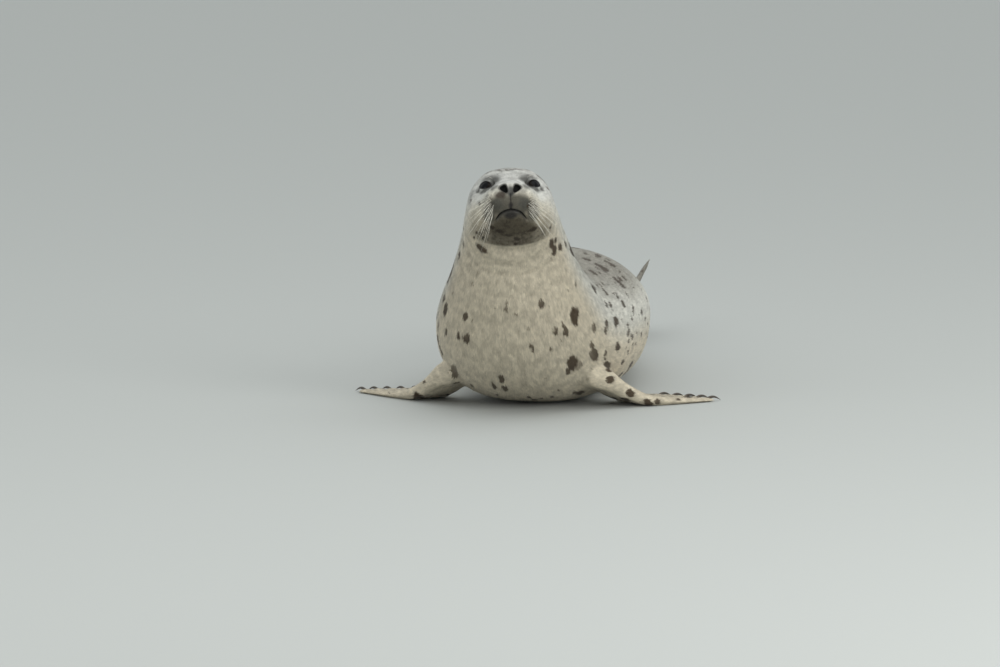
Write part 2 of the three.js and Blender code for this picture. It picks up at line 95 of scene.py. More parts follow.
stage = {
    "floorSize": 240, "floor": (0.48, 0.50, 0.49, 1), "floorRoughness": 0.85,
    "sky": (0.88, 0.91, 0.9, 1), "skyStrength": 0.84,
}
lamps = [  # name, place from the head, size, power, colour
    ("softTop", (1.6, -1.2, 4.2), 3.6, 52, (1.0, 0.99, 0.96)),
    ("frontRight", (3.6, -4.4, 2.2), 2.4, 135, (1.0, 0.99, 0.96)),
    ("frontLeft", (-4.2, -3.6, 2.2), 2.4, 35, (1.0, 0.98, 0.95)),
]
bpy.context.scene.view_settings.view_transform = "Standard"


def buildStage():
    mesh = bmesh.new()
    bmesh.ops.create_grid(mesh, x_segments=1, y_segments=1, size=stage["floorSize"] / 2)
    data = bpy.data.meshes.new("floor")
    mesh.to_mesh(data)
    mesh.free()
    floor = addObject("floor", data)
    fixed = {"Base Color": stage["floor"], "Roughness": stage["floorRoughness"]}
    data.materials.append(newMaterial("paleFloor", fixed)[0])
    world = bpy.data.worlds.new("overcast")
    world.use_nodes = True
    background = world.node_tree.nodes["Background"]
    background.inputs["Color"].default_value = stage["sky"]
    background.inputs["Strength"].default_value = stage["skyStrength"]
    bpy.context.scene.world = world
    for name, place, size, power, color in lamps:
        lampData = bpy.data.lights.new(name, "AREA")
        lampData.size, lampData.energy, lampData.color = size, power, color
        lamp = addObject(name, lampData)
        lamp.location = target + Vector(place)
        lamp.rotation_euler = Vector(place).to_track_quat("Z", "Y").to_euler()
        lamp.visible_camera = False
    print("stage and camera ready")


# The body's sizes are in millimetres.
# How the spine lies: distance from the nose tip, then pitch (nose up), yaw and roll in degrees.
pose = [
    (0, 28, 0, 2), (150, 28, 1, 2), (210, 39, 4, 2), (270, 52, 5, 1), (340, 58, 6, 0), (400, 53, 7, 0),
    (470, 37, 9, 0), (550, 16, 11, 0), (660, 4, 13, 0), (820, 1, 13, 0), (1000, 6, 11, 0),
    (1200, 11, 6, 0), (1400, 9, 0, 0), (1500, 5, -3, 0), (1600, 2, -4, 0),
]
# Distance from the nose tip, half the width, back above the spine, belly below it, how square each half is.
girth = [
    (0, 0, 0, 0, 2, 2), (4, 23, 9, 20, 2, 2), (12, 36, 15, 37, 2, 2.1), (25, 45, 22, 48, 2, 2.1),
    (45, 51, 35, 57, 2.1, 2.1), (72, 63, 58, 64, 2.2, 2.1), (100, 80, 80, 69, 2.28, 2.1),
    (130, 89, 91, 73, 2.2, 2.1), (160, 93, 95, 79, 2.1, 2.1), (200, 99, 98, 90, 2, 2),
    (250, 107, 106, 107, 2, 2), (340, 131, 122, 130, 2, 2), (430, 162, 135, 146, 2, 2.1),
    (520, 185, 143, 155, 2, 2.3), (650, 202, 149, 160, 2, 2.6), (820, 198, 148, 155, 2, 2.6),
    (1000, 170, 126, 143, 2, 2.5), (1180, 126, 94, 116, 2, 2.4), (1320, 88, 68, 90, 2, 2.2),
    (1430, 58, 46, 57, 2, 2), (1480, 32, 24, 26, 2, 2), (1530, 23, 12, 12, 2, 2), (1600, 15, 7, 7, 2, 2),
]
body = {
    "length": 1575, "restHeight": 150, "restStation": 820, "spineStep": 2, "spineEnd": 1600,
    "headEnd": 150,  # up to here everything belongs to the head's own stretch of the spine
}
# Forms of the head in its own frame (back from the nose tip, to the side, up): middle, spread, push.
forms = {
    "whiskerPad": ((16, 27, -21), (18, 15, 15), (-5, 6, -3)),
    "nose": ((4, 0, -3), (12, 20, 11), (-5, 0, 2)),
    "underLip": ((8, 0, -49), (13, 30, 8), (8, 0, 1)),
    "chin": ((26, 0, -56), (13, 18, 9), (-3, 0, -3)),
    "philtrum": ((2, 0, -24), (14, 4, 13), (4, 0, 0)),
    "bridgeHollow": ((42, 33, 17), (15, 11, 13), (2, -4, -3)),
    "brow": ((86, 42, 62), (19, 18, 13), (-2, 1, 3)),
    "foreheadFurrow": ((72, 0, 58), (24, 10, 14), (0, 0, -2)),
    "cheek": ((92, 66, -8), (30, 16, 28), (-2, 5, 0)),
    "throatCrease": ((160, 0, -82), (7, 72, 26), (0, 0, 5)),
    "throatRoll": ((184, 0, -92), (13, 80, 28), (0, 0, -5)),
}


def curveThrough(rows, column, variable=lambda at: at):
    # a smooth curve through rows of sizes that never overshoots them
    x = variable(np.array([row[0] for row in rows], float))
    y = np.array([row[column] for row in rows], float)
    slope = np.diff(y) / np.diff(x)
    tangent = np.concatenate([slope[:1], np.zeros(len(y) - 2), slope[-1:]])
    before, after = slope[:-1], slope[1:]
    same = before * after > 0
    tangent[1:-1][same] = (2 * before * after)[same] / (before + after)[same]

    def value(at):
        here = np.clip(variable(np.asarray(at, float)), x[0], x[-1])
        i = np.clip(np.searchsorted(x, here, side="right") - 1, 0, len(x) - 2)
        span = x[i + 1] - x[i]
        t = (here - x[i]) / span
        return (
            (2 * t**3 - 3 * t**2 + 1) * y[i]
            + (t**3 - 2 * t**2 + t) * span * tangent[i]
            + (3 * t**2 - 2 * t**3) * y[i + 1]
            + (t**3 - t**2) * span * tangent[i + 1]
        )

    return value


def unit(vectors):
    return vectors / np.maximum(np.linalg.norm(vectors, axis=-1, keepdims=True), 1e-9)


def dot(a, b):
    return (a * b).sum(-1)


def onSide(place, sign):
    # a place of the head on its left (1) or its right (-1)
    return np.array([place[0], sign * place[1], place[2]], float)


def smooth(values, start, end):
    # 0 at start and before, 1 at end and after; start may be the larger
    t = np.clip((values - start) / (end - start), 0, 1)
    return t * t * (3 - 2 * t)


def hump(values, middle, spread):
    return np.exp(-(((values - middle) / spread) ** 2))


pitchAt, yawAt, rollAt = (curveThrough(pose, column) for column in (1, 2, 3))
halfAt, backAt, bellyAt, upperAt, lowerAt = (curveThrough(girth, column, np.sqrt) for column in range(1, 6))


def directionsAt(at):
    pitch, yaw, roll = (np.radians(curve(at)) for curve in (pitchAt, yawAt, rollAt))
    back = np.stack([np.sin(yaw) * np.cos(pitch), np.cos(yaw) * np.cos(pitch), -np.sin(pitch)], -1)
    level = np.stack([np.cos(yaw), -np.sin(yaw), np.zeros_like(yaw)], -1)
    upright = np.cross(level, back)
    side = level * np.cos(roll)[..., None] + upright * np.sin(roll)[..., None]
    up = upright * np.cos(roll)[..., None] - level * np.sin(roll)[..., None]
    return back, side, up


spineStations = np.arange(0, body["spineEnd"] + 1, body["spineStep"], dtype=float)
spineSteps = directionsAt(spineStations[1:] - body["spineStep"] / 2)[0]
spinePoints = np.concatenate([np.zeros((1, 3)), np.cumsum(spineSteps, 0) * body["spineStep"]])
spinePoints[:, 2] += body["restHeight"] - np.interp(body["restStation"], spineStations, spinePoints[:, 2])


def spineAt(at):
    return np.stack([np.interp(at, spineStations, spinePoints[:, k]) for k in range(3)], -1)


headBack, headSide, headUp = directionsAt(np.array(0.0))
headAxes = np.stack([headBack, headSide, headUp])
eye = {
    "radius": 21, "at": (79, 42, 25), "gaze": (-0.81, 0.51, 0.27),
    "long": 13.0, "tall": 9.1, "slant": 10, "shift": -1,  # the opening, turned up at its outer end
    "point": 0.10, "scale": 12,  # how far its corners run out, and what one of its halves counts for
    "lid": 1.3, "edge": 0.3, "fold": 0.55, "sunk": 6,  # the lids over the ball, and the skin sunk behind it
}
ear = {"at": (150, 89, 20), "radius": 3.0, "rim": 0.5, "depth": 4.0}

# The body's place on the floor comes from the eyes' nodes.
eyesHere = spineAt(0) + np.array([eye["at"][0], 0, eye["at"][2]]) @ headAxes
spinePoints += np.array([target.x / mm - eyesHere[0], target.y / mm - eyesHere[1], 0])


def toHead(points):
    return (points - spineAt(0)) @ headAxes.T


def fromHead(points):
    return spineAt(0) + points @ headAxes


# The skin lies under the flesh's outside by the coat's depth, which grows along the body.
skin = {
    "around": 132, "rings": 186, "ringSpread": 1.8, "tailRound": 26, "noseRound": 12,
    "coatDepth": [(0, 0.25), (70, 0.7), (260, 2.2)],  # station, depth
    "floor": 0.6, "floorEase": 6,  # clearance over the floor, and the height from which it flattens
    "faceEnd": 200, "formsEnd": 320, "carveEnd": 420,
    "folds": [(240, 2.08, 6), (303, 1.92, 8), (365, 1.28, 9)],  # station, depth, wave
    "foldSpread": 12,
    "rootGrow": 3, "rootEase": 10,  # rings of vertices at the flippers' roots, and rounds of smoothing
}
mouth = {
    "middle": -41.5, "droop": 4, "per": 20, "power": 1.3, "corner": 66, "fade": 22,
    "depth": 3.6, "width": 1.6,
    "lips": [(0.9, 4, 2.6), (1.1, -4, 2.4)],  # how full, height over the line, spread
}
philtrum = {"width": 1.2, "depth": 1.6, "from": (-11, -16), "to": (-2, 3), "back": 30, "dark": 0.55}
nostril = {
    "side": 12.5, "up": -4, "long": 9.6, "wide": 6.6, "slant": 34, "widen": 0.045, "square": 2.5, "scale": 7,
    "depth": 9.5, "wing": 1.1, "back": (22, 14),
}
# Where the grid over the face is split again, in millimetres round each feature.
detail = {
    "face": 118, "eye": 8, "lidEdge": 2, "ear": 8,
    "nose": (24, -22, 30), "lips": (5.5, 70), "nostril": (1.8, 20),
}


def lipLine(side):
    return mouth["middle"] - mouth["droop"] * (np.abs(side) / mouth["per"]) ** mouth["power"]


def bodySurface(station, turn):
    # the flesh's outside at a distance from the nose tip, turned from the belly's middle over the back
    angle = 2 * math.pi * turn - math.pi
    sine, cosine = np.sin(angle), np.cos(angle)
    power = 2 / np.where(cosine > 0, upperAt(station), lowerAt(station))
    inset = np.interp(station, *zip(*skin["coatDepth"]))
    rounded = np.sqrt(np.clip((body["length"] - station) / skin["tailRound"], 0, 1))
    half = np.maximum(halfAt(station) - inset, 0) * rounded
    tall = np.maximum(np.where(cosine > 0, backAt(station), bellyAt(station)) - inset, 0) * rounded

    def squared(wave):
        return np.sign(wave) * np.abs(wave) ** power

    point = np.stack([station, squared(sine) * half, squared(cosine) * tall], -1)
    moved = point.copy()
    near = station < skin["formsEnd"]
    for middle, spread, push in forms.values():
        for sign in (-1, 1) if middle[1] else (1,):
            reach = (point[near] - onSide(middle, sign)) / spread
            moved[near] += np.exp(-0.5 * dot(reach, reach))[:, None] * onSide(push, sign)
    back, side, up = directionsAt(station)
    shift = moved[:, 0] - station + inset * np.clip(1 - station / skin["noseRound"], 0, 1)
    return spineAt(station) + back * shift[:, None] + side * moved[:, 1:2] + up * moved[:, 2:3]


def bodyNormals(station, turn):
    ahead, beside = 0.6, 0.0015
    along = bodySurface(station + ahead, turn) - bodySurface(np.maximum(station - ahead, 0.05), turn)
    around = bodySurface(station, turn + beside) - bodySurface(station, turn - beside)
    return unit(np.cross(around, along))


def eyeFrame(sign):
    gaze = unit(onSide(eye["gaze"], sign))
    along = unit(np.array([abs(gaze[1]), sign * abs(gaze[0]), 0]))
    tall = unit(np.array([0, 0, 1]) - gaze[2] * gaze)
    return onSide(eye["at"], sign), along, tall, gaze


def eyeReach(head, sign):
    # place across the eye, and the distance outside its opening, whose corners run out to a point
    centre, along, tall, gaze = eyeFrame(sign)
    rel = head - centre
    slant = math.radians(eye["slant"])
    level, upward, out = rel @ along - eye["shift"], rel @ tall, rel @ gaze
    across = level * math.cos(slant) + upward * math.sin(slant)
    high = upward * math.cos(slant) - level * math.sin(slant)
    pointed = 1 + eye["point"] * smooth(np.abs(across), 6, 15)
    reach = np.sqrt((across / (eye["long"] * pointed)) ** 2 + (high / eye["tall"]) ** 2)
    return across, high, out, (reach - 1) * eye["scale"]


def nostrilReach(head, sign):
    slant = math.radians(nostril["slant"])
    aside, high = sign * head[:, 1] - nostril["side"], head[:, 2] - nostril["up"]
    along = aside * math.sin(slant) + high * math.cos(slant)
    across = aside * math.cos(slant) - high * math.sin(slant)
    wide = nostril["wide"] * np.clip(1 + nostril["widen"] * along, 0.3, 1.6)
    power = nostril["square"]
    reach = (np.abs(along / nostril["long"]) ** power + np.abs(across / wide) ** power) ** (1 / power)
    return (reach - 1) * nostril["scale"]


def earDistance(head, sign):
    return np.linalg.norm(head - onSide(ear["at"], sign), axis=1)


def mark(masks, name, values):
    masks[name] = np.maximum(masks[name], values)


def carveMouth(head, moved, normals, masks):
    # the mouth's groove, with the lips rolled over it, and the groove from the nose down to it
    drop = head[:, 2] - lipLine(head[:, 1])
    inMouth = smooth(head[:, 0], mouth["corner"], mouth["corner"] - mouth["fade"]) * (head[:, 2] < 0)
    groove = hump(drop, 0, mouth["width"]) * inMouth
    lips = sum(full * hump(drop, middle, spread) for full, middle, spread in mouth["lips"]) * inMouth
    moved += normals * (lips - mouth["depth"] * groove)[:, None]
    # the groove is a hollow, painted near black as shade
    mark(masks, "cavity", hump(drop, 0, mouth["width"] * 0.8) * inMouth)
    mark(masks, "rim", 0.85 * hump(drop, -1.6, 3.0) * inMouth)
    line = hump(head[:, 1], 0, philtrum["width"]) * smooth(head[:, 2], *philtrum["from"])
    line = line * smooth(head[:, 2] - mouth["middle"], *philtrum["to"]) * (head[:, 0] < philtrum["back"])
    moved += normals * (-philtrum["depth"] * line)[:, None]
    # the groove under the nose is painted darker as shade
    mark(masks, "cavity", philtrum["dark"] * line)


def carveNostril(head, moved, normals, sign, masks):
    gone = nostrilReach(head, sign)
    ahead = smooth(head[:, 0], *nostril["back"])
    hollow = smooth(gone, 0.7, -2.6) * ahead
    wing = hump(gone, 1.7, 1.5) * ahead
    moved[:, 0] += nostril["depth"] * hollow - nostril["wing"] * wing
    # the nostril's inside is painted near black as shade
    mark(masks, "cavity", smooth(gone, 0.6, -0.8) * ahead)
    mark(masks, "rim", 0.75 * smooth(gone, 3.2, 1.0) * ahead)


def carveEar(head, moved, normals, sign, masks):
    # a small pit with a raised rim
    gone = earDistance(head, sign) - ear["radius"]
    pit = ear["rim"] * hump(gone, 1.4, 1.2) - ear["depth"] * smooth(gone, 0.8, -2.6)
    moved += normals * pit[:, None]
    # the pit is painted near black as shade
    mark(masks, "cavity", smooth(gone, 0.3, -1.5))


def carveLids(head, moved, normals, sign, masks):
    # the lids lie on the ball round the opening, and inside it the skin goes down behind the ball
    centre, along, tall, gaze = eyeFrame(sign)
    high, out, gone = eyeReach(moved, sign)[1:]
    near = (out > 0) & (gone < 16)
    fromAxis = (moved - centre) @ np.stack([along, tall]).T
    radial = np.minimum(dot(fromAxis, fromAxis), (0.97 * eye["radius"]) ** 2)
    ball = np.sqrt(eye["radius"] ** 2 - radial)
    lid = ball + eye["lid"] + eye["edge"] * hump(gone, 0.9, 1.0)
    fold = -eye["fold"] * hump(gone, 4.4, 1.3) * smooth(high, -2, 6)
    outside = out + (lid - out) * smooth(gone, 10, 1.5) + fold
    inside = lid + (ball - eye["sunk"] - lid) * smooth(gone, -0.3, -1.7)
    height = np.where(gone > -0.3, outside, inside)
    moved[near] += (height - out)[near, None] * gaze
    mark(masks, "rim", smooth(gone, 2.2, 0.8) * near)
    # the skin behind the ball is painted near black as shade
    mark(masks, "cavity", smooth(gone, -0.6, -1.4) * near)


def carveFace(points, station, turn):
    # mouth, nostrils, lids, ears and folds; gives the moved points, and masks for the bare dark skin and for
    # the painted shade in its hollows
    normals = bodyNormals(station, turn)
    headNormals = normals @ headAxes.T
    head = toHead(points)
    masks = {"cavity": np.zeros(len(points)), "rim": np.zeros(len(points))}
    moved = head.copy()
    carveMouth(head, moved, headNormals, masks)
    for carve in (carveNostril, carveLids, carveEar):
        for sign in (-1, 1):
            carve(head, moved, headNormals, sign, masks)
    result = np.where((station < skin["faceEnd"])[:, None], fromHead(moved), points)
    # soft folds round the throat and nape
    under = smooth(np.abs(turn - 0.5), 0.2, 0.42)
    for at, deep, wave in skin["folds"]:
        line = at + wave * np.sin(7.0 * turn + at)
        result += normals * (-deep * hump(station, line, skin["foldSpread"]) * (0.2 + under))[:, None]
    return result, masks


def furFlow(points, station):
    # the fur lies backwards along the body, and outwards round the eyes
    flow = directionsAt(station)[0]
    head = toHead(points)
    for sign in (-1, 1):
        across, high, out, gone = eyeReach(head, sign)
        along, tall = eyeFrame(sign)[1:3]
        away = unit(across[:, None] * along + high[:, None] * tall) @ headAxes
        flow = flow + away * (2.2 * smooth(gone, 13, 1) * (out > 0))[:, None]
    return unit(flow)


def stationAt(along):
    return body["length"] * along ** skin["ringSpread"]


def detailLevel(station, turn):
    # how many times the grid is split: once on the face, twice at its features, again at their edges
    head = toHead(bodySurface(station, turn))
    side, high = head.T[1:]
    level = (station < detail["face"]).astype(int)
    for sign in (-1, 1):
        out, gone = eyeReach(head, sign)[2:]
        level[(gone < detail["eye"]) & (out > 0)] = 2
        level[(np.abs(gone + 0.4) < detail["lidEdge"]) & (out > 0)] = 3
        level[earDistance(head, sign) < detail["ear"]] = 2
    noseEnd, noseFoot, noseSide = detail["nose"]
    level[(station < noseEnd) & (high > noseFoot) & (np.abs(side) < noseSide)] = 2
    lipReach, lipEnd = detail["lips"]
    level[(np.abs(high - lipLine(side)) < lipReach) & (station < lipEnd) & (high < 0)] = 2
    edge, nostrilEnd = detail["nostril"]
    for sign in (-1, 1):
        level[(np.abs(nostrilReach(head, sign)) < edge) & (station < nostrilEnd)] = 3
    return level


def readArray(items, key, width, kind=float):
    values = np.empty(len(items) * width, kind)
    items.foreach_get(key, values)
    return values.reshape(-1, width)


def coordinates(data):
    return readArray(data.vertices, "co", 3)


def setAttribute(data, name, kind, values):
    layer = data.attributes.get(name) or data.attributes.new(name, kind, "POINT")
    key = "vector" if kind == "FLOAT_VECTOR" else "value"
    layer.data.foreach_set(key, np.ascontiguousarray(values, float).ravel())


def meshFrom(name, mesh):
    data = bpy.data.meshes.new(name)
    mesh.to_mesh(data)
    mesh.free()
    data.shade_smooth()
    return addObject(name, data)


def foldGrid(name, mesh, place, join=0.00003):
    # moves the flat grid's vertices to their place in space, and closes its seam and its ends
    flat = np.array([vert.co[:2] for vert in mesh.verts]) + 0.5
    points = place(flat[:, 0], flat[:, 1])
    verts = list(mesh.verts)
    for vert, point in zip(verts, points * mm):
        vert.co = point
    if join:
        bmesh.ops.remove_doubles(mesh, verts=verts, dist=join)
    else:
        first = {}
        keys = [(round(v, 5), 0) if min(v, 1 - v) < 1e-5 else (round(v, 5), round(u, 5) % 1) for u, v in flat]
        ends = {vert: first.setdefault(key, vert) for vert, key in zip(verts, keys)}
        bmesh.ops.weld_verts(mesh, targetmap={vert: end for vert, end in ends.items() if vert is not end})
    bmesh.ops.recalc_face_normals(mesh, faces=mesh.faces)
    if mesh.calc_volume(signed=True) < 0:
        bmesh.ops.reverse_faces(mesh, faces=mesh.faces)
    return meshFrom(name, mesh), flat, points


def buildBody():
    mesh = bmesh.new()
    bmesh.ops.create_grid(mesh, x_segments=skin["around"], y_segments=skin["rings"], size=0.5)
    for level in (1, 2, 3):
        centres = np.array([face.calc_center_median()[:2] for face in mesh.faces]) + 0.5
        wanted = detailLevel(stationAt(centres[:, 1]), 0.5 - np.abs(centres[:, 0] - 0.5)) >= level
        edges = {edge for face, split in zip(list(mesh.faces), wanted) if split for edge in face.edges}
        bmesh.ops.subdivide_edges(mesh, edges=list(edges), cuts=1, use_grid_fill=True)
    bmesh.ops.triangulate(mesh, faces=[face for face in mesh.faces if len(face.verts) > 4])
    masks = {}

    def place(turn, along):
        station = stationAt(along)
        points = bodySurface(station, turn)
        ahead = station < skin["carveEnd"]
        points[ahead], carved = carveFace(points[ahead], station[ahead], turn[ahead])
        for key, values in carved.items():
            masks[key] = np.zeros(len(turn))
            masks[key][ahead] = values
        floor, ease = skin["floor"], skin["floorEase"]
        low = points[:, 2] < floor + ease
        points[low, 2] = floor + ease * np.exp((points[low, 2] - floor - ease) / ease)
        return points

    made, flat, points = foldGrid("skin", mesh, place, 0)
    facts = {
        "points": points, "part": np.zeros(len(flat), int), "u": flat[:, 0], "v": flat[:, 1],
        "flow": furFlow(points, stationAt(flat[:, 1])), **masks,
    }
    print("body skin:", len(made.data.vertices), "vertices")
    return made, facts


# Flippers. Each shape runs from root to tips: height of the middle, half the width, thickness at a digit and
# of the web between them.
foreFlipper = {
    "kind": "fore", "station": 505, "root": 105, "turn": 42, "length": 320, "shorten": 0.24, "crescent": 0,
    "lean": 0, "digits": (-0.8, -0.42, -0.03, 0.36, 0.76),
    "shape": [
        (0, 88, 54, 68, 62), (62, 64, 51, 52, 48), (115, 33, 48, 35, 32), (170, 12, 53, 24, 17),
        (240, 6, 59, 15, 8), (320, 3.5, 62, 10, 5),
    ],
    "claw": {"length": 30, "radius": 3.4, "drop": 5},
}
hindFlipper = {
    "kind": "hind", "station": 1395, "root": 34, "turn": 80, "length": 350, "shorten": 0, "crescent": 0.1,
    "lean": 62, "digits": (-0.86, -0.44, 0, 0.44, 0.86),
    "shape": [
        (0, 58, 40, 60, 58), (60, 50, 42, 46, 44), (120, 46, 50, 32, 28), (200, 54, 64, 20, 12),
        (280, 66, 79, 13, 6), (350, 76, 88, 9, 4.5),
    ],
    "claw": {"length": 16, "radius": 2.6, "drop": 1},
}
flipperSkin = {"rings": 44, "sides": 72, "ridge": 0.15, "scallop": 9, "inset": 0.5, "tipRound": (1.004, 0.05)}


def flipperAxes(spec, sign):
    yaw = np.radians(yawAt(spec["station"]))
    turn, lean = math.radians(spec["turn"]), math.radians(spec["lean"])
    level = np.array([math.cos(yaw), -math.sin(yaw), 0]) * sign
    rearwards = np.array([math.sin(yaw), math.cos(yaw), 0])
    out = level * math.cos(turn) + rearwards * math.sin(turn)
    flat = level * math.sin(turn) - rearwards * math.cos(turn)
    across = flat * math.cos(lean) + np.array([0, 0, math.sin(lean)])
    normal = unit(np.cross(out, across)) * -sign
    start = spineAt(spec["station"]) * (1, 1, 0) + level * spec["root"]
    return start, out, across, normal


def flipperPlace(spec, sign, u, v, face):
    # u from root to tips, v from the leading edge (-1) to the trailing edge (1), face 1 above and -1 below
    start, out, across, normal = flipperAxes(spec, sign)
    height, half, digit, web = (curveThrough(spec["shape"], column) for column in (1, 2, 3, 4))
    ridge = np.minimum(1, sum(hump(v, d, flipperSkin["ridge"]) for d in spec["digits"]))
    shortfall = spec["length"] * (spec["shorten"] * ((v + 1) / 2) ** 1.2 + spec["crescent"] * (1 - v * v))
    shortfall = shortfall + flipperSkin["scallop"] * (1 - ridge)
    far = spec["length"] * u
    edge = np.sqrt(np.clip(1 - v**8, 0, 1))
    tipEnd, tipRound = flipperSkin["tipRound"]
    rounded = np.sqrt(np.clip((tipEnd - u) / tipRound, 0, 1))
    thick = (web(far) + (digit(far) - web(far)) * ridge) * edge * rounded
    thick = np.maximum(thick - 2 * flipperSkin["inset"], 0)
    return (
        start
        + out * (far - shortfall * u * u)[:, None]
        + np.array([0, 0, 1.0]) * height(far)[:, None]
        + across * (-v * half(far))[:, None]
        + normal * (face * thick / 2)[:, None]
    )


def buildFlipper(spec, sign, part):
    mesh = bmesh.new()
    bmesh.ops.create_grid(mesh, x_segments=flipperSkin["sides"], y_segments=flipperSkin["rings"], size=0.5)

    def place(share, along):
        share = np.where(share > 1 - 1e-6, 0, share)
        face = np.where(share < 0.5, 1, -1)
        t = np.where(share < 0.5, 2 * share, 2 - 2 * share)
        v = -0.55 * np.cos(math.pi * t) + 0.45 * (2 * t - 1)
        u = 1 - (1 - along) ** 1.15
        capped = (along > 1e-6) & (along < 1 - 1e-6)
        points = flipperPlace(spec, sign, np.clip(u, 0, 0.998), v, face * capped)
        points[:, 2] = np.maximum(points[:, 2], skin["floor"])
        return points

    made, flat, points = foldGrid("flipper", mesh, place)
    out = flipperAxes(spec, sign)[1]
    count = len(flat)
    facts = {
        "points": points, "part": np.full(count, part), "u": flat[:, 0], "v": flat[:, 1],
        "flow": np.tile(out, (count, 1)), "cavity": np.zeros(count), "rim": np.zeros(count),
    }
    return made, facts


def treeOf(points, indices):
    tree = kdtree.KDTree(len(indices))
    for i in indices:
        tree.insert(points[i], i)
    tree.balance()
    return tree


def nearestIndex(points, queries):
    tree = treeOf(points, range(len(points)))
    return np.array([tree.find(query)[1] for query in queries])


def bodyPlaceOf(points):
    # each point in the frame of the straightened body: to the side, back from the nose tip, up, in metres
    i = nearestIndex(spinePoints, points)
    headEnd = body["headEnd"]
    i = np.where(toHead(points)[:, 0] < headEnd, np.minimum(i, headEnd // body["spineStep"]), i)
    back, side, up = directionsAt(spineStations[i])
    rel = points - spinePoints[i]
    ahead = spineStations[i] + dot(rel, back)
    return np.stack([dot(rel, side), ahead, dot(rel, up)], -1) * mm


# Where each part of the skin lies on the unwrapped map: left, bottom, width, height.
mapPatches = [
    (0.01, 0.01, 0.78, 0.98), (0.81, 0.01, 0.18, 0.235), (0.81, 0.255, 0.18, 0.235),
    (0.81, 0.50, 0.18, 0.235), (0.81, 0.745, 0.18, 0.235),
]


def mapPlace(part, u, v):
    patch = np.array(mapPatches)[part]
    return np.stack([patch[..., 0] + u * patch[..., 2], patch[..., 1] + v * patch[..., 3]], -1)


def easeRoots(mesh, part):
    # the flippers' roots flow into the body
    def crosses(vert):
        return len({min(part[edge.other_vert(vert).index], 1) for edge in vert.link_edges}) > 1

    mesh.verts.ensure_lookup_table()
    eased = {vert for vert in mesh.verts if crosses(vert)}
    for _ in range(skin["rootGrow"]):
        eased |= {edge.other_vert(vert) for vert in eased for edge in vert.link_edges}
    for _ in range(skin["rootEase"]):
        bmesh.ops.smooth_vert(
            mesh, verts=list(eased), factor=0.5, use_axis_x=True, use_axis_y=True, use_axis_z=True
        )
    bmesh.ops.triangulate(mesh, faces=[face for face in mesh.faces if len(face.verts) > 4])


def buildSkin():
    # the body and the flippers joined into one skin, with what is known at each of its vertices
    made, facts = buildBody()
    parts = [facts]
    limbs = [(spec, sign) for spec in (foreFlipper, hindFlipper) for sign in (1, -1)]
    for part, (spec, sign) in enumerate(limbs, 1):
        flipper, flipperFacts = buildFlipper(spec, sign, part)
        parts.append(flipperFacts)
        join = made.modifiers.new("join", "BOOLEAN")
        join.operation, join.solver, join.object = "UNION", "MANIFOLD", flipper
        joined = bpy.data.meshes.new_from_object(made.evaluated_get(bpy.context.evaluated_depsgraph_get()))
        made.modifiers.clear()
        made.data = joined
        bpy.data.objects.remove(flipper)
    facts = {key: np.concatenate([one[key] for one in parts]) for key in parts[0]}
    data = made.data
    nearest = nearestIndex(facts["points"], coordinates(data) / mm)
    facts = {key: values[nearest] for key, values in facts.items()}
    mesh = bmesh.new()
    mesh.from_mesh(data)
    easeRoots(mesh, facts["part"])
    mesh.to_mesh(data)
    mesh.free()
    data.name = "skin"
    data.shade_smooth()
    facts["place"] = bodyPlaceOf(coordinates(data) / mm)
    setAttribute(data, "bodyPlace", "FLOAT_VECTOR", facts["place"])
    setAttribute(data, "cavity", "FLOAT", facts["cavity"])
    setAttribute(data, "rim", "FLOAT", facts["rim"])
    facts["loopMap"] = unwrap(data, facts)
    triangles = sum(polygon.loop_total - 2 for polygon in data.polygons)
    print("skin:", len(data.vertices), "vertices,", triangles, "triangles")
    return made, facts


def unwrap(data, facts):
    # the map is the flat grid that the skin was folded from
    loopVert = readArray(data.loops, "vertex_index", 1, int)[:, 0]
    starts, totals = (readArray(data.polygons, key, 1, int)[:, 0] for key in ("loop_start", "loop_total"))
    owner = np.repeat(np.arange(len(starts)), totals)
    part = np.minimum.reduceat(facts["part"][loopVert], starts)[owner]
    u, v = facts["u"][loopVert], facts["v"][loopVert]
    top = np.maximum.reduceat(u, starts)[owner]
    u = np.where(top - u > 0.5, u + 1, u)
    ends = np.minimum(v, 1 - v) < 1e-5
    middle = np.add.reduceat(u * ~ends, starts) / np.maximum(np.add.reduceat(~ends, starts, dtype=float), 1)
    u = np.where(ends, middle[owner], u)
    places = mapPlace(part, u, v)
    layer = data.uv_layers.new(name="OFBake")
    layer.data.foreach_set("uv", places.ravel())
    return places


def makeNode(tree, kind, settings=None, inputs=None):
    node = tree.nodes.new(kind)
    for key, value in (settings or {}).items():
        setattr(node, key, value)
    connect(tree, node, inputs or {})
    return node


def calculate(tree, operation, a, b=0.0, c=0.0):
    return makeNode(tree, "ShaderNodeMath", {"operation": operation}, {0: a, 1: b, 2: c}).outputs[0]


def times(tree, first, *others):
    for other in others:
        first = calculate(tree, "MULTIPLY", first, other)
    return first


def vectorMath(tree, operation, a, b=(0, 0, 0)):
    node = makeNode(tree, "ShaderNodeVectorMath", {"operation": operation}, {0: a, 1: b})
    return node.outputs["Value" if operation == "LENGTH" else "Vector"]


def ramp(tree, value, low, high, start=0.0, end=1.0):
    node = makeNode(
        tree, "ShaderNodeMapRange", {"interpolation_type": "SMOOTHSTEP"},
        {"Value": value, "From Min": low, "From Max": high, "To Min": start, "To Max": end},
    )
    return node.outputs["Result"]


def blendColor(tree, factor, a, b, mode="MIX"):
    node = makeNode(tree, "ShaderNodeMix", {"data_type": "RGBA", "blend_type": mode}, {"Factor": factor})
    for index, value in ((6, a), (7, b)):
        if isinstance(value, bpy.types.NodeSocket):
            tree.links.new(value, node.inputs[index])
        else:
            node.inputs[index].default_value = (*value, 1)
    return node.outputs[2]


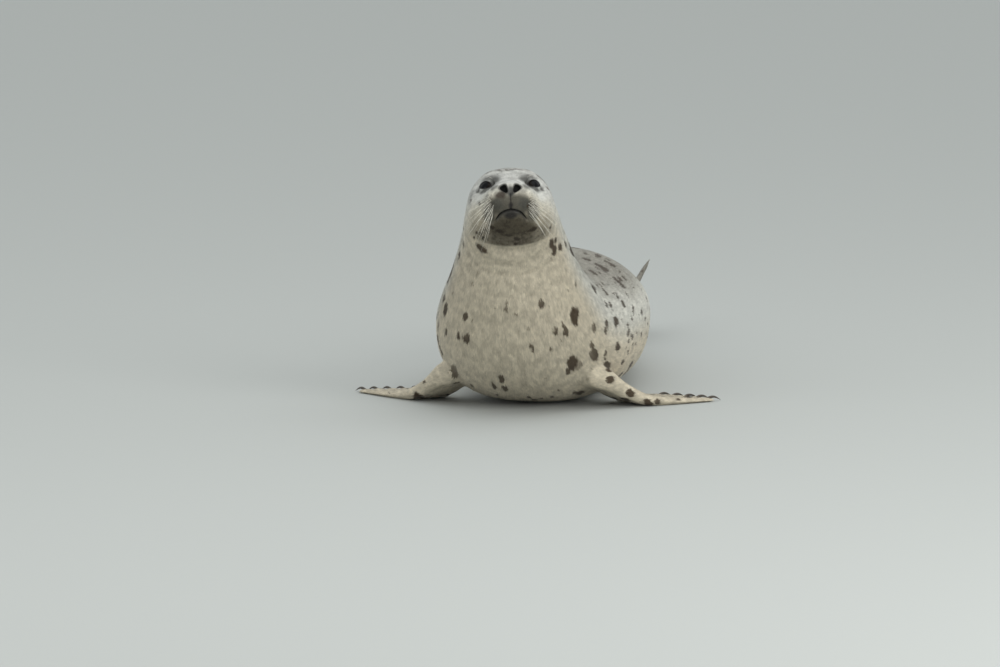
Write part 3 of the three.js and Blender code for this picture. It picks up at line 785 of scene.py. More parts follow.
def noiseOf(tree, place, scale, detail, roughness=0.5):
    inputs = {"Vector": place, "Scale": scale, "Detail": detail, "Roughness": roughness}
    return makeNode(tree, "ShaderNodeTexNoise", {}, inputs).outputs["Fac"]


def spotsOf(tree, place, scale, least, most, soft):
    # round spots of several sizes, one in each cell at most; a cell's own random value sets its size
    cells = makeNode(tree, "ShaderNodeTexVoronoi", {}, {"Vector": place, "Scale": scale, "Randomness": 0.9})
    share = makeNode(tree, "ShaderNodeSeparateColor", {}, {"Color": cells.outputs["Color"]}).outputs[0]
    size = ramp(tree, share, 0.15, 1.0, least, most)
    inside = calculate(tree, "SUBTRACT", size, cells.outputs["Distance"])
    return ramp(tree, inside, 0.0, soft)


def blob(tree, place, middle, radii, inner):
    # 1 inside an egg shape, 0 outside it
    scaled = vectorMath(tree, "DIVIDE", vectorMath(tree, "SUBTRACT", place, middle), radii)
    return ramp(tree, vectorMath(tree, "LENGTH", scaled), 1.0, inner)


# Colours of the coat and bare skin. The chin colour is partly the chin's own dark coat and partly painted
# shade under the head; hollow is painted shade, near black, inside the nostrils, the mouth's groove, the
# groove under the nose, the ear pits and the skin behind the eyeballs.
coatColors = {
    "pale": (0.61, 0.60, 0.545), "white": (0.57, 0.57, 0.55), "bright": (0.80, 0.80, 0.76),
    "beige": (0.60, 0.535, 0.42), "back": (0.25, 0.235, 0.20), "mantle": (0.115, 0.106, 0.09),
    "spot": (0.046, 0.027, 0.013), "grey": (0.062, 0.062, 0.055), "brown": (0.055, 0.042, 0.033),
    "muzzle": (0.082, 0.076, 0.06), "chin": (0.070, 0.056, 0.034), "chinSpot": (0.024, 0.015, 0.007),
    "lip": (0.022, 0.02, 0.019), "nose": (0.050, 0.050, 0.049), "bare": (0.022, 0.021, 0.02),
    "hollow": (0.006, 0.006, 0.006), "flipper": (0.20, 0.185, 0.155),
}
# Patches of the face, alike on both sides: middle and reach (side, back and up, in metres), the share of the
# reach that is full, colour, strength.
facePatches = [
    ((0.061, 0.067, 0.003), (0.016, 0.030, 0.016), 0.3, "bright", 0.65),  # cheek under the eye
    ((0.031, 0.057, 0.036), (0.019, 0.024, 0.018), 0.35, "grey", 0.9),  # inner corner of the eye
    ((0.042, 0.072, 0.047), (0.026, 0.024, 0.013), 0.3, "grey", 0.6),  # upper lid
    ((0.036, 0.069, 0.050), (0.034, 0.032, 0.020), 0.2, "grey", 0.3),  # brow
    ((0.048, 0.053, 0.0155), (0.023, 0.028, 0.0105), 0.45, "grey", 0.85),  # painted shade under the eye, along the lower lid
    ((0.065, 0.076, 0.030), (0.009, 0.014, 0.014), 0.3, "grey", 0.65),  # beside the outer corner
    ((0.062, 0.077, 0.022), (0.010, 0.014, 0.007), 0.3, "grey", 0.8),  # outer corner of the eye
    ((0.036, 0.046, 0.019), (0.014, 0.022, 0.014), 0.3, "grey", 0.55),  # between eye and nose
    ((0.032, 0.015, 0.004), (0.013, 0.034, 0.012), 0.4, "grey", 0.72),  # side of the nose
    ((0.016, 0.011, -0.034), (0.041, 0.038, 0.029), 0.5, "muzzle", 0.95),  # round the mouth
    ((0.045, 0.048, -0.034), (0.022, 0.046, 0.027), 0.4, "muzzle", 0.92),  # painted shade on the cheek behind the whiskers, in the muzzle's colour
    ((0.030, 0.010, -0.032), (0.021, 0.022, 0.017), 0.3, "grey", 0.6),  # whisker pad
    ((0.0, 0.010, -0.035), (0.007, 0.020, 0.010), 0.35, "lip", 0.95),  # foot of the groove under the nose
    ((0.0, 0.001, -0.0150), (0.008, 0.010, 0.0048), 0.3, "lip", 0.7),  # under the nose
    ((0.0, 0.027, -0.050), (0.019, 0.014, 0.010), 0.4, "lip", 0.95),  # lower lip
]
# Patches on one side only.
ownPatches = [
    ((-0.020, 0.001, -0.015), (0.016, 0.022, 0.011), 0.4, "brown", 0.92),
    ((-0.050, 0.040, -0.009), (0.018, 0.032, 0.009), 0.25, "grey", 0.6),
    ((-0.062, 0.066, -0.006), (0.008, 0.012, 0.007), 0.2, "grey", 0.6),
    # painted shade on the left edge of the face
    ((-0.080, 0.100, 0.020), (0.010, 0.022, 0.032), 0.3, "grey", 0.35),
    # painted shade on the left cheek behind the whiskers, in the muzzle's colour
    ((-0.042, 0.046, -0.037), (0.015, 0.045, 0.020), 0.4, "muzzle", 0.8),
    ((0.026, 0.0, -0.009), (0.010, 0.012, 0.007), 0.3, "grey", 0.5),
    ((0.002, 0.049, 0.037), (0.012, 0.022, 0.012), 0.2, "mantle", 0.16),
]
# Single blotches that every animal has its own of: middle, then half length along the body and half width.
blotches = [
    ((-0.061, 0.178, -0.065), 0.011, 0.015), ((-0.076, 0.162, -0.045), 0.006, 0.004),
    ((-0.071, 0.131, -0.046), 0.006, 0.004), ((-0.063, 0.123, -0.051), 0.008, 0.003),
    ((-0.058, 0.134, -0.056), 0.010, 0.003), ((-0.110, 0.278, -0.020), 0.010, 0.007),
    ((0.043, 0.095, -0.057), 0.006, 0.011), ((0.080, 0.141, -0.036), 0.009, 0.005),
    ((0.083, 0.198, -0.050), 0.018, 0.008), ((0.088, 0.224, -0.050), 0.017, 0.009),
    ((0.098, 0.241, -0.032), 0.011, 0.008), ((0.089, 0.206, -0.037), 0.009, 0.005),
    ((0.010, 0.113, -0.069), 0.007, 0.007), ((0.008, 0.132, -0.072), 0.006, 0.005),
    ((-0.006, 0.096, -0.067), 0.004, 0.008), ((-0.023, 0.085, -0.063), 0.005, 0.008),
    ((-0.039, 0.081, -0.055), 0.005, 0.006), ((-0.079, 0.092, 0.011), 0.004, 0.003),
    ((0.077, 0.101, 0.034), 0.008, 0.004), ((-0.063, 0.065, -0.008), 0.004, 0.003),
    ((0.033, 0.018, -0.036), 0.004, 0.003), ((0.049, 0.049, -0.025), 0.004, 0.003),
]
# Spots: cells a metre, least and most radius in a cell, where they start behind the nose, strength.
bodySpots = [
    {"cells": 23.0, "least": 0.02, "most": 0.37, "from": 0.17, "to": 0.30, "strength": 0.94},
    {"cells": 44.0, "least": -0.08, "most": 0.36, "from": 0.13, "to": 0.24, "strength": 0.88},
    {"cells": 31.0, "least": 0.04, "most": 0.40, "from": 0.30, "to": 0.44, "strength": 0.95},
]


# What the markings read, and the attribute of the mesh that feeds it.
markingInputs = [
    ("Place", "Vector", "bodyPlace"), ("Shade", "Float", "shade"), ("Cavity", "Float", "cavity"),
    ("Rim", "Float", "rim"), ("Root", "Float", "follicle"),
]
markingOutputs = [("Color", "Color"), ("Roughness", "Float"), ("Height", "Float")]
# How far the edges of spots, of the face's patches and of single blotches are shaken, in metres.
shakes = {
    "scale": 80.0,
    "body": (0.014, 0.018, 0.014), "face": (0.008, 0.008, 0.008), "own": (0.012, 0.014, 0.012),
}
nosePadShape = {"middle": (0.0, 0.0, -0.008), "reach": (0.012, 0.019, 0.017), "inner": 0.35}


def paint(tree, color, name, *shares):
    # a named colour laid over what is there, as strongly as the shares say together
    return blendColor(tree, times(tree, *shares), color, coatColors[name])


def dim(tree, color, share):
    grey = makeNode(tree, "ShaderNodeCombineColor", {}, {0: share, 1: share, 2: share}).outputs[0]
    return blendColor(tree, 1.0, color, grey, "MULTIPLY")


def stretched(tree, place, amounts):
    return vectorMath(tree, "MULTIPLY", place, amounts)


def splitPlace(tree, place):
    return makeNode(tree, "ShaderNodeSeparateXYZ", {}, {0: place}).outputs[:]


def readPlace(tree, place):
    # the place of the straightened body, folded over for both sides of the face, and with shaken edges
    side, station, high = splitPlace(tree, place)
    sides = {0: calculate(tree, "ABSOLUTE", side), 1: station, 2: high}
    folded = makeNode(tree, "ShaderNodeCombineXYZ", {}, sides).outputs[0]
    fixed = {"Vector": place, "Scale": shakes["scale"], "Detail": 4.0}
    shaker = makeNode(tree, "ShaderNodeTexNoise", {}, fixed)
    shaken = vectorMath(tree, "SUBTRACT", shaker.outputs["Color"], (0.5, 0.5, 0.5))
    at = {"place": place, "station": station, "high": high, "folded": folded}
    for name, origin in (("body", place), ("face", folded), ("own", place)):
        at[name] = vectorMath(tree, "ADD", origin, stretched(tree, shaken, shakes[name]))
    return at


def groundColor(tree, at):
    # pale face, warm throat and belly, dark back
    station, high = at["station"], at["high"]
    broad = noiseOf(tree, at["place"], 9.0, 3.0)
    color = blendColor(tree, ramp(tree, high, 0.02, -0.05), coatColors["pale"], coatColors["beige"])
    color = paint(tree, color, "white", ramp(tree, station, 0.16, 0.09), ramp(tree, high, -0.02, 0.03))
    ridge = ramp(tree, calculate(tree, "ADD", high, times(tree, broad, 0.05)), 0.06, 0.14)
    color = paint(tree, color, "back", ridge, ramp(tree, station, 0.10, 0.30), 0.85)
    color = paint(tree, color, "flipper", ramp(tree, station, 1.36, 1.46), 0.8)
    color = blendColor(tree, times(tree, broad, 0.5), color, coatColors["pale"], "SOFT_LIGHT")
    mottle = noiseOf(tree, at["place"], 75.0, 4.0, 0.62)
    return dim(tree, color, ramp(tree, mottle, 0.36, 0.64, 0.80, 1.10))


def layMantle(tree, at, color):
    # the dark mantle starts behind the brow, further back down the sides, and is broken up
    _, far, up = splitPlace(tree, at["face"])
    start = calculate(tree, "MULTIPLY_ADD", up, 1.27, far)
    start = calculate(tree, "MULTIPLY_ADD", noiseOf(tree, at["place"], 34.0, 2.0), 0.05, start)
    edge = calculate(tree, "MULTIPLY_ADD", ramp(tree, at["station"], 0.12, 0.2), -0.05, at["high"])
    whole = times(tree, ramp(tree, start, 0.186, 0.197), ramp(tree, edge, -0.01, 0.02))
    fading = ramp(tree, at["station"], 0.30, 0.18, 0.25, 0.85)
    broken = ramp(tree, noiseOf(tree, at["place"], 55.0, 2.0), 0.42, 0.56, 0.3, 1.0)
    return paint(tree, color, "mantle", whole, fading, broken)


def laySpots(tree, at, color):
    # dark spots on body and neck, drawn out lengthways, and grey flecks on crown and cheeks
    station, high = at["station"], at["high"]
    drawnOut = stretched(tree, at["body"], (1.0, 0.68, 1.0))
    behind = calculate(tree, "ADD", station, high)
    for spots in bodySpots:
        there = spotsOf(tree, drawnOut, spots["cells"], spots["least"], spots["most"], 0.07)
        strength = ramp(tree, behind, spots["from"], spots["to"], 0.0, spots["strength"])
        color = paint(tree, color, "spot", there, strength)
    flecks = spotsOf(tree, at["face"], 120.0, -0.24, 0.36, 0.16)
    crown = times(tree, ramp(tree, high, 0.0, 0.04), ramp(tree, station, 0.045, 0.08), 0.6)
    cheek = times(tree, ramp(tree, station, 0.05, 0.08), ramp(tree, station, 0.2, 0.13), 0.5)
    return paint(tree, color, "grey", flecks, calculate(tree, "MAXIMUM", crown, cheek))


def layChin(tree, at, color):
    # chin and throat are dark down to the first fold, which curves round the sides, and speckled; the
    # darkness is partly their own dark coat and partly painted shade under the head, and a softer painted
    # shade darkens the lower face above them
    side, far, up = splitPlace(tree, at["face"])
    fold = calculate(tree, "MULTIPLY_ADD", times(tree, side, side), -3.6, at["station"])
    under = times(tree, ramp(tree, up, -0.043, -0.056), ramp(tree, fold, 0.145, 0.136))
    beside = times(tree, ramp(tree, side, 0.036, 0.056), ramp(tree, at["station"], 0.075, 0.1))
    jaw = calculate(tree, "MULTIPLY_ADD", beside, -0.6, 1.0)
    jaw = times(tree, ramp(tree, far, 0.125, 0.085, 0.66, 0.95), jaw)
    # painted shade: the lower face grows softly darker towards the chin
    color = paint(tree, color, "chin", ramp(tree, up, -0.012, -0.054), ramp(tree, fold, 0.150, 0.125), 0.52)
    # the chin and throat down to the fold: dark coat and painted shade under the head together
    color = paint(tree, color, "chin", under, jaw)
    speckle = ramp(tree, noiseOf(tree, at["place"], 95.0, 3.0, 0.6), 0.48, 0.60)
    return paint(tree, color, "chinSpot", speckle, under, 0.6), under


def layPatches(tree, at, color, under):
    # patches of the face, then this animal's own blotches
    for where, patches in (("face", facePatches), ("own", ownPatches)):
        for middle, reach, inner, name, strength in patches:
            color = paint(tree, color, name, blob(tree, at[where], middle, reach, inner), strength)
    marked = 0.0
    for middle, long, wide in blotches:
        one = blob(tree, at["own"], middle, (wide * 1.3, long * 1.3, wide * 1.3), 0.6)
        marked = calculate(tree, "MAXIMUM", one, marked)
    spotColor = blendColor(tree, under, coatColors["spot"], coatColors["chinSpot"])
    return blendColor(tree, times(tree, marked, 0.95), color, spotColor)


def buildMarkings():
    # colour, roughness and height of skin and coat at a place of the straightened body
    tree = bpy.data.node_groups.new("sealMarkings", "ShaderNodeTree")
    for name, kind, _ in markingInputs:
        tree.interface.new_socket(name, in_out="INPUT", socket_type=f"NodeSocket{kind}")
    for name, kind in markingOutputs:
        tree.interface.new_socket(name, in_out="OUTPUT", socket_type=f"NodeSocket{kind}")
    given = tree.nodes.new("NodeGroupInput").outputs
    at = readPlace(tree, given["Place"])
    color = groundColor(tree, at)
    color = layMantle(tree, at, color)
    color = laySpots(tree, at, color)
    color, under = layChin(tree, at, color)
    color = layPatches(tree, at, color, under)
    nosePad = blob(tree, at["folded"], *nosePadShape.values())
    bare = calculate(tree, "MAXIMUM", given["Rim"], given["Cavity"])
    color = paint(tree, color, "nose", nosePad, 0.92)
    color = paint(tree, color, "bare", bare)
    # painted shade: the hollows go near black
    color = paint(tree, color, "hollow", given["Cavity"])
    color = paint(tree, color, "spot", given["Root"], 0.8)
    # single hairs: streaks along the body, and each tuft's random tone with painted shade, darker at its root
    # and lighter at its tip
    place = at["place"]
    fine = noiseOf(tree, stretched(tree, place, (1.0, 0.3, 1.0)), 260.0, 3.0)
    hair = noiseOf(tree, stretched(tree, place, (1.0, 0.12, 1.0)), 900.0, 2.0)
    streak = ramp(tree, fine, 0.25, 0.75, 0.88, 1.08)
    streak = calculate(tree, "ADD", streak, times(tree, given["Shade"], 0.12))
    moist = calculate(tree, "MAXIMUM", nosePad, bare)
    roughness = calculate(tree, "MAXIMUM", ramp(tree, moist, 0.0, 1.0, 0.6, 0.34), given["Cavity"])
    relief = {
        0: moist, 2: calculate(tree, "ADD", times(tree, hair, 0.6), times(tree, fine, 0.4)),
        3: noiseOf(tree, place, 900.0, 3.0),
    }
    height = makeNode(tree, "ShaderNodeMix", {"data_type": "FLOAT"}, relief).outputs[0]
    result = {"Color": dim(tree, color, streak), "Roughness": roughness, "Height": height}
    connect(tree, tree.nodes.new("NodeGroupOutput"), result)
    return tree


def bumpOf(tree, height, strength, depth):
    bump = makeNode(tree, "ShaderNodeBump", {}, {"Height": height, "Strength": strength, "Distance": depth})
    return bump.outputs["Normal"]


def objectNoise(tree, scale, detail):
    return noiseOf(tree, makeNode(tree, "ShaderNodeTexCoord").outputs["Object"], scale, detail)


def markedMaterial(name, markings, bumpDepth, sheen):
    fixed = {"Sheen Weight": sheen, "Sheen Roughness": 0.4, "Specular IOR Level": 0.25}
    material, tree, shader = newMaterial(name, fixed)
    group = makeNode(tree, "ShaderNodeGroup", {"node_tree": markings})
    for socket, kind, attribute in markingInputs:
        reader = makeNode(tree, "ShaderNodeAttribute", {"attribute_name": attribute})
        tree.links.new(reader.outputs["Vector" if kind == "Vector" else "Fac"], group.inputs[socket])
    color, roughness, height = group.outputs
    look = {"Base Color": color, "Roughness": roughness, "Normal": bumpOf(tree, height, 0.5, bumpDepth)}
    connect(tree, shader, look)
    return material


def finish(made, material):
    made.data.materials.clear()
    made.data.materials.append(material)
    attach(made, "root")


# The eyeballs, dark all through, with a faint iris round the pupil.
eyeLook = {
    "segments": 64, "rings": 40, "gap": 0.15, "cornea": 0.7, "corneaRadius": 15,
    "pupil": (0.004, 0.004, 0.005), "iris": ((0.004, 0.0025, 0.002), (0.009, 0.0055, 0.0035)),
    "white": (0.006, 0.005, 0.005),
}


def eyeMaterial():
    material, tree, shader = newMaterial("wetEye", {"Roughness": 0.07, "Specular IOR Level": 0.1})
    fromMiddle = makeNode(tree, "ShaderNodeAttribute", {"attribute_name": "iris"}).outputs["Fac"]
    iris = blendColor(tree, objectNoise(tree, 420.0, 3.0), *eyeLook["iris"])
    color = blendColor(tree, ramp(tree, fromMiddle, 0.55, 0.62), eyeLook["pupil"], iris)
    color = blendColor(tree, ramp(tree, fromMiddle, 0.9, 1.05), color, eyeLook["white"])
    connect(tree, shader, {"Base Color": color})
    return material


def buildEyes():
    look = eyeMaterial()
    for name, sign in (("left", 1), ("right", -1)):
        centre, along, tall, gaze = eyeFrame(sign)
        mesh = bmesh.new()
        bmesh.ops.create_uvsphere(mesh, u_segments=eyeLook["segments"], v_segments=eyeLook["rings"], radius=1)
        local = np.array([vert.co[:] for vert in mesh.verts])
        reach = np.arccos(np.clip(local[:, 2], -1, 1)) * eye["radius"]
        swell = eyeLook["cornea"] * smooth(reach, eyeLook["corneaRadius"], 0)
        radius = eye["radius"] - eyeLook["gap"] + swell
        points = centre + (local @ np.stack([along, tall, gaze])) * radius[:, None]
        for vert, point in zip(mesh.verts, fromHead(points) * mm):
            vert.co = point
        bmesh.ops.recalc_face_normals(mesh, faces=mesh.faces)
        made = meshFrom("eye" + name.title(), mesh)
        setAttribute(made.data, "iris", "FLOAT", reach / eyeLook["corneaRadius"])
        finish(made, look)
        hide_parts("eye_" + name)
    print("eyes done")


# The claws, from their heels inside the flipper to their tips.
clawLook = {
    "sides": 14, "rings": 12, "sunk": 7, "heel": 0.84, "tip": 0.97, "flat": 0.8, "floor": 0.2,
    "tones": ((0.022, 0.018, 0.015), (0.10, 0.08, 0.06)),
}


def hornMaterial():
    material, tree, shader = newMaterial("clawHorn", {})
    streaks = objectNoise(tree, 500.0, 3.0)
    look = {
        "Base Color": blendColor(tree, streaks, *clawLook["tones"]),
        "Roughness": ramp(tree, streaks, 0.2, 0.8, 0.28, 0.5), "Normal": bumpOf(tree, streaks, 0.4, 0.0004),
    }
    connect(tree, shader, look)
    return material


def buildClaw(name, spec, sign, digit):
    tip, heel = (
        flipperPlace(spec, sign, np.array([clawLook[end]]), np.array([digit]), 0)[0]
        for end in ("tip", "heel")
    )
    along = unit((tip - heel) * (1, 1, 0))
    aside = unit(np.cross(along, (0, 0, 1)))
    claw, sunk = spec["claw"], clawLook["sunk"]
    mesh = bmesh.new()
    bmesh.ops.create_grid(mesh, x_segments=clawLook["sides"], y_segments=clawLook["rings"], size=0.5)

    def place(share, t):
        reach = -sunk + (claw["length"] + sunk) * t
        lift = 1 + claw["drop"] * (1.1 * np.sin(math.pi * t) - 0.9 * t * t)
        size = claw["radius"] * (1 - t**1.5) ** 0.8 * (t > 1e-6)
        angle = 2 * math.pi * np.where(share > 1 - 1e-6, 0, share)
        points = tip + along * reach[:, None] + np.array([0, 0, 1.0]) * lift[:, None]
        points = points + aside * (clawLook["flat"] * size * np.cos(angle))[:, None]
        points[:, 2] = np.maximum(points[:, 2] + size * np.sin(angle), clawLook["floor"])
        return points

    return foldGrid(name, mesh, place)[0]


def buildClaws():
    look = hornMaterial()
    for side, sign in (("left", 1), ("right", -1)):
        for spec in (foreFlipper, hindFlipper):
            for i, digit in enumerate(spec["digits"], 1):
                made = buildClaw(f"{spec['kind']}Claw{side.title()}{i}", spec, sign, digit)
                finish(made, look)
                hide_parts(f"{spec['kind']}_claw_{side}_{i}")
    print("claws done")


# Whiskers: rows over each pad, one under the other, the lower ones pointing further down.
whisker = {
    "rows": 5, "perRow": 6, "length": 78, "radius": 0.40, "tip": 0.09, "sides": 6, "rings": 16, "sunk": 3,
    "golden": 0.618,  # spreads the whiskers of a row over the step to the next
    "fan": {1: (2, 50), -1: (4, 68)},  # degrees down of the first and the last on each side
    "sag": (0.16, 0.10), "bead": 0.07, "beadLength": 1.6, "dot": 1.3, "padEnd": 70,
    "tones": ((0.56, 0.52, 0.43), (0.84, 0.82, 0.75)),
}
browWhisker = {"count": 3, "length": 13, "radius": 0.17, "tip": 0.1, "sunk": 2, "from": 66, "apart": 5.5}


def whiskerRoots():
    # side, how far down the rows, how far along the row, station and turn of each
    rows = []
    for sign in (-1, 1):
        for row in range(whisker["rows"]):
            for i in range(whisker["perRow"]):
                high = row / (whisker["rows"] - 1)
                far = (i + 0.5 * (row % 2)) / whisker["perRow"]
                station = 12 + 37 * far + 4 * high + draws.uniform(-0.6, 0.6)
                angle = math.radians(105 + 27 * high + 4 * far + draws.uniform(-1.5, 1.5))
                rows.append((sign, high, far, station, 0.5 + sign * angle / (2 * math.pi)))
    return np.array(rows)


def markRoots(made, facts, roots):
    # a dark dot where each whisker leaves the skin
    points = coordinates(made.data) / mm
    dots = np.zeros(len(points))
    near = np.flatnonzero(toHead(points)[:, 0] < whisker["padEnd"])
    for place in bodySurface(roots[:, 3], roots[:, 4]):
        distance = np.linalg.norm(points[near] - place, axis=1)
        dots[near] = np.maximum(dots[near], hump(distance, 0, whisker["dot"]))
    setAttribute(made.data, "follicle", "FLOAT", dots)
    facts["follicle"] = dots


def sweepTube(mesh, path, radii, sides):
    # a round tapered tube, built ring by ring with extrusions
    ends = unit(np.gradient(path, axis=0))
    first = Matrix.Translation(path[0]) @ Vector(ends[0]).to_track_quat("Z", "Y").to_matrix().to_4x4()
    made = bmesh.ops.create_circle(mesh, cap_ends=True, segments=sides, radius=radii[0], matrix=first)
    ring = list({edge for vert in made["verts"] for edge in vert.link_edges})
    for k in range(1, len(path)):
        grown = bmesh.ops.extrude_edge_only(mesh, edges=ring)["geom"]
        verts = [item for item in grown if isinstance(item, bmesh.types.BMVert)]
        ring = [item for item in grown if isinstance(item, bmesh.types.BMEdge)]
        middle = sum((v.co for v in verts), Vector()) / len(verts)
        turn = Vector(ends[k - 1]).rotation_difference(Vector(ends[k])).to_matrix()
        scale = radii[k] / radii[k - 1]
        for v in verts:
            v.co = Vector(path[k]) + turn @ ((v.co - middle) * scale)
    bmesh.ops.contextual_create(mesh, geom=ring)


def whiskerMaterial():
    material, tree, shader = newMaterial("whiskerHair", {})
    tone = objectNoise(tree, 60.0, 2.0)
    color = blendColor(tree, tone, *whisker["tones"])
    connect(tree, shader, {"Base Color": color, "Roughness": ramp(tree, tone, 0.2, 0.8, 0.3, 0.42)})
    return material


def growWhisker(mesh, root, normal, sunk, out, length, bend, radii):
    # from under the skin outwards, bending more towards its tip
    t = np.linspace(0, 1, whisker["rings"])[:, None]
    path = root - normal * sunk * (1 - t) ** 4 + out * length * t + bend * t**2.2
    sweepTube(mesh, path * mm, radii * mm, whisker["sides"])


def surfaceAt(station, turn):
    at = np.array([station]), np.array([turn])
    return bodySurface(*at)[0], bodyNormals(*at)[0]


def growPad(mesh, roots):
    steps = np.linspace(0, 1, whisker["rings"])
    for sign, high, far, station, turn in roots:
        root, normal = surfaceAt(station, turn)
        place = high * (whisker["rows"] - 1) + (whisker["golden"] * far * whisker["perRow"]) % 1
        first, last = whisker["fan"][sign]
        drop = math.radians(first + (last - first) * place / whisker["rows"] + draws.uniform(-1.5, 1.5))
        out = headSide * sign * math.cos(drop) - headUp * math.sin(drop) + headBack * (0.10 + 0.34 * far)
        out = unit(out - 0.35 * normal)
        length = whisker["length"] * (0.45 + 0.55 * far) * (1 - 0.25 * abs(high - 0.55))
        length *= draws.uniform(0.85, 1.1)
        down, back = whisker["sag"]
        sag = headUp * (-down * length) + headBack * (back * length)
        beads = 1 + whisker["bead"] * np.sin(steps * length / whisker["beadLength"])
        radii = (whisker["tip"] + (whisker["radius"] - whisker["tip"]) * (1 - steps) ** 0.8) * beads
        growWhisker(mesh, root, normal, whisker["sunk"], out, length, sag, radii)


def growBrow(mesh, sign):
    steps = np.linspace(0, 1, whisker["rings"])
    for i in range(browWhisker["count"]):
        station = browWhisker["from"] + browWhisker["apart"] * i
        root, normal = surfaceAt(station, 0.5 + sign * (0.094 + 0.004 * i))
        length = browWhisker["length"] * (0.7 + 0.12 * i)
        out = unit(normal * 0.9 + headSide * sign * 0.35 + headBack * 0.35)
        bend = (headBack * 0.45 - headUp * 0.1) * length
        radii = browWhisker["tip"] + (browWhisker["radius"] - browWhisker["tip"]) * (1 - steps)
        growWhisker(mesh, root, normal, browWhisker["sunk"], out, length, bend, radii)


def buildWhiskers(roots):
    look = whiskerMaterial()
    for name, sign in (("Left", 1), ("Right", -1)):
        mesh = bmesh.new()
        growPad(mesh, roots[roots[:, 0] == sign])
        growBrow(mesh, sign)
        bmesh.ops.recalc_face_normals(mesh, faces=mesh.faces)
        finish(meshFrom("whiskers" + name, mesh), look)
    print("whiskers done")


# Each stretch of the coat: slot, first and last station or the flippers' parts of the skin, tufts for each
# square centimetre, length and width in millimetres.
coatStretches = {
    "coatFace": ("face_coat", (0, 110), 108, 4.6, 0.85),
    "coatHead": ("coat", (110, 215), 72, 6.2, 1.1),
    "coatNeck": ("coat", (215, 400), 32, 8.5, 1.6),
    "coatShoulders": ("coat", (400, 600), 23, 9.5, 1.9),
    "coatTorso": ("coat", (600, 860), 18, 10.5, 2.1),
    "coatLoin": ("coat", (860, 1140), 17, 10.5, 2.1),
    "coatHind": ("coat", (1140, 1580), 18, 9.0, 1.9),
    "coatForeFlippers": ("flipper_coat", (1, 2), 28, 6.0, 1.3),
    "coatHindFlippers": ("flipper_coat", (3, 4), 20, 6.5, 1.5),
}
tuft = {
    "rise": 0.12, "sunk": 0.2, "thick": 0.28, "round": 0.7, "swing": 0.16, "mapPatch": 0.003,
    "bare": 0.35, "clearFloor": 2.5, "webEnd": 0.96,  # where the skin stays bare
    "nosePad": (14, 6, 10, 7),  # the bare nose: back, half width, half height, and how low its middle lies
    "floor": 0.15,  # the lowest point of a tuft
    "lowest": -1.5, "highest": 4,  # how far a tip is moved at most to follow the skin
}


def tuftTemplate():
    # one flat pointed lock of hairs, along +Y with its root at the origin, one long and one wide
    mesh = bmesh.new()
    made = bmesh.ops.create_circle(mesh, cap_ends=True, segments=3, radius=0.5)
    upright = Matrix.Rotation(math.radians(-90), 3, "X")
    bmesh.ops.rotate(mesh, verts=made["verts"], cent=(0, 0, 0), matrix=upright)
    grown = bmesh.ops.extrude_face_region(mesh, geom=list(mesh.faces))["geom"]
    tip = [item for item in grown if isinstance(item, bmesh.types.BMVert)]
    bmesh.ops.translate(mesh, verts=tip, vec=(0, 1, 0))
    bmesh.ops.pointmerge(mesh, verts=tip, merge_co=(0, 1, 0))
    bmesh.ops.holes_fill(mesh, edges=mesh.edges)
    bmesh.ops.triangulate(mesh, faces=mesh.faces)
    bmesh.ops.recalc_face_normals(mesh, faces=mesh.faces)
    mesh.verts.index_update()
    corners = np.array([[vert.index for vert in face.verts] for face in mesh.faces])
    points = np.array([vert.co[:] for vert in mesh.verts])
    mesh.free()
    return points, corners


def readGround(data, facts):
    # the skin's triangles with what the coat needs of them, and a tree for finding the skin near a tip
    data.calc_loop_triangles()
    verts = readArray(data.loop_triangles, "vertices", 3, int)
    points = coordinates(data) / mm
    corners = points[verts]
    across = np.cross(corners[:, 1] - corners[:, 0], corners[:, 2] - corners[:, 0])
    part = facts["part"][verts].min(1)
    along = facts["v"][verts].mean(1)
    head = toHead(corners.mean(1))
    bald = np.maximum(facts["cavity"], facts["rim"])[verts].max(1) > tuft["bare"]
    back, wide, tall, low = tuft["nosePad"]
    onNose = (head[:, 0] < back) & (np.abs(head[:, 1]) < wide) & (np.abs(head[:, 2] + low) < tall)
    bald |= (part == 0) & onNose
    bald |= corners[:, :, 2].min(1) < tuft["clearFloor"]
    bald |= (part > 0) & (along > tuft["webEnd"])
    return {
        "verts": verts, "loops": readArray(data.loop_triangles, "loops", 3, int), "points": points,
        "normals": readArray(data.vertex_normals, "vector", 3), "corners": corners, "part": part,
        "area": np.linalg.norm(across, axis=1) / 2, "station": stationAt(along), "back": head[:, 0],
        "furred": ~bald, "tree": treeOf(points, np.flatnonzero(facts["cavity"] < 0.3)),
    }


def settleTips(ground, tips, heights, facing):
    # each tip keeps its height over the skin under it, so the coat neither stands off nor sinks in at bends;
    # skin that faces away is the other side of a thin web, and moves nothing
    found = np.array([ground["tree"].find(tip)[1] for tip in tips])
    points, normals = ground["points"][found], ground["normals"][found]
    lack = heights - dot(tips - points, normals)
    lack = lack * (dot(normals, facing) > 0.3)
    return tips + normals * np.clip(lack, tuft["lowest"], tuft["highest"])[:, None]


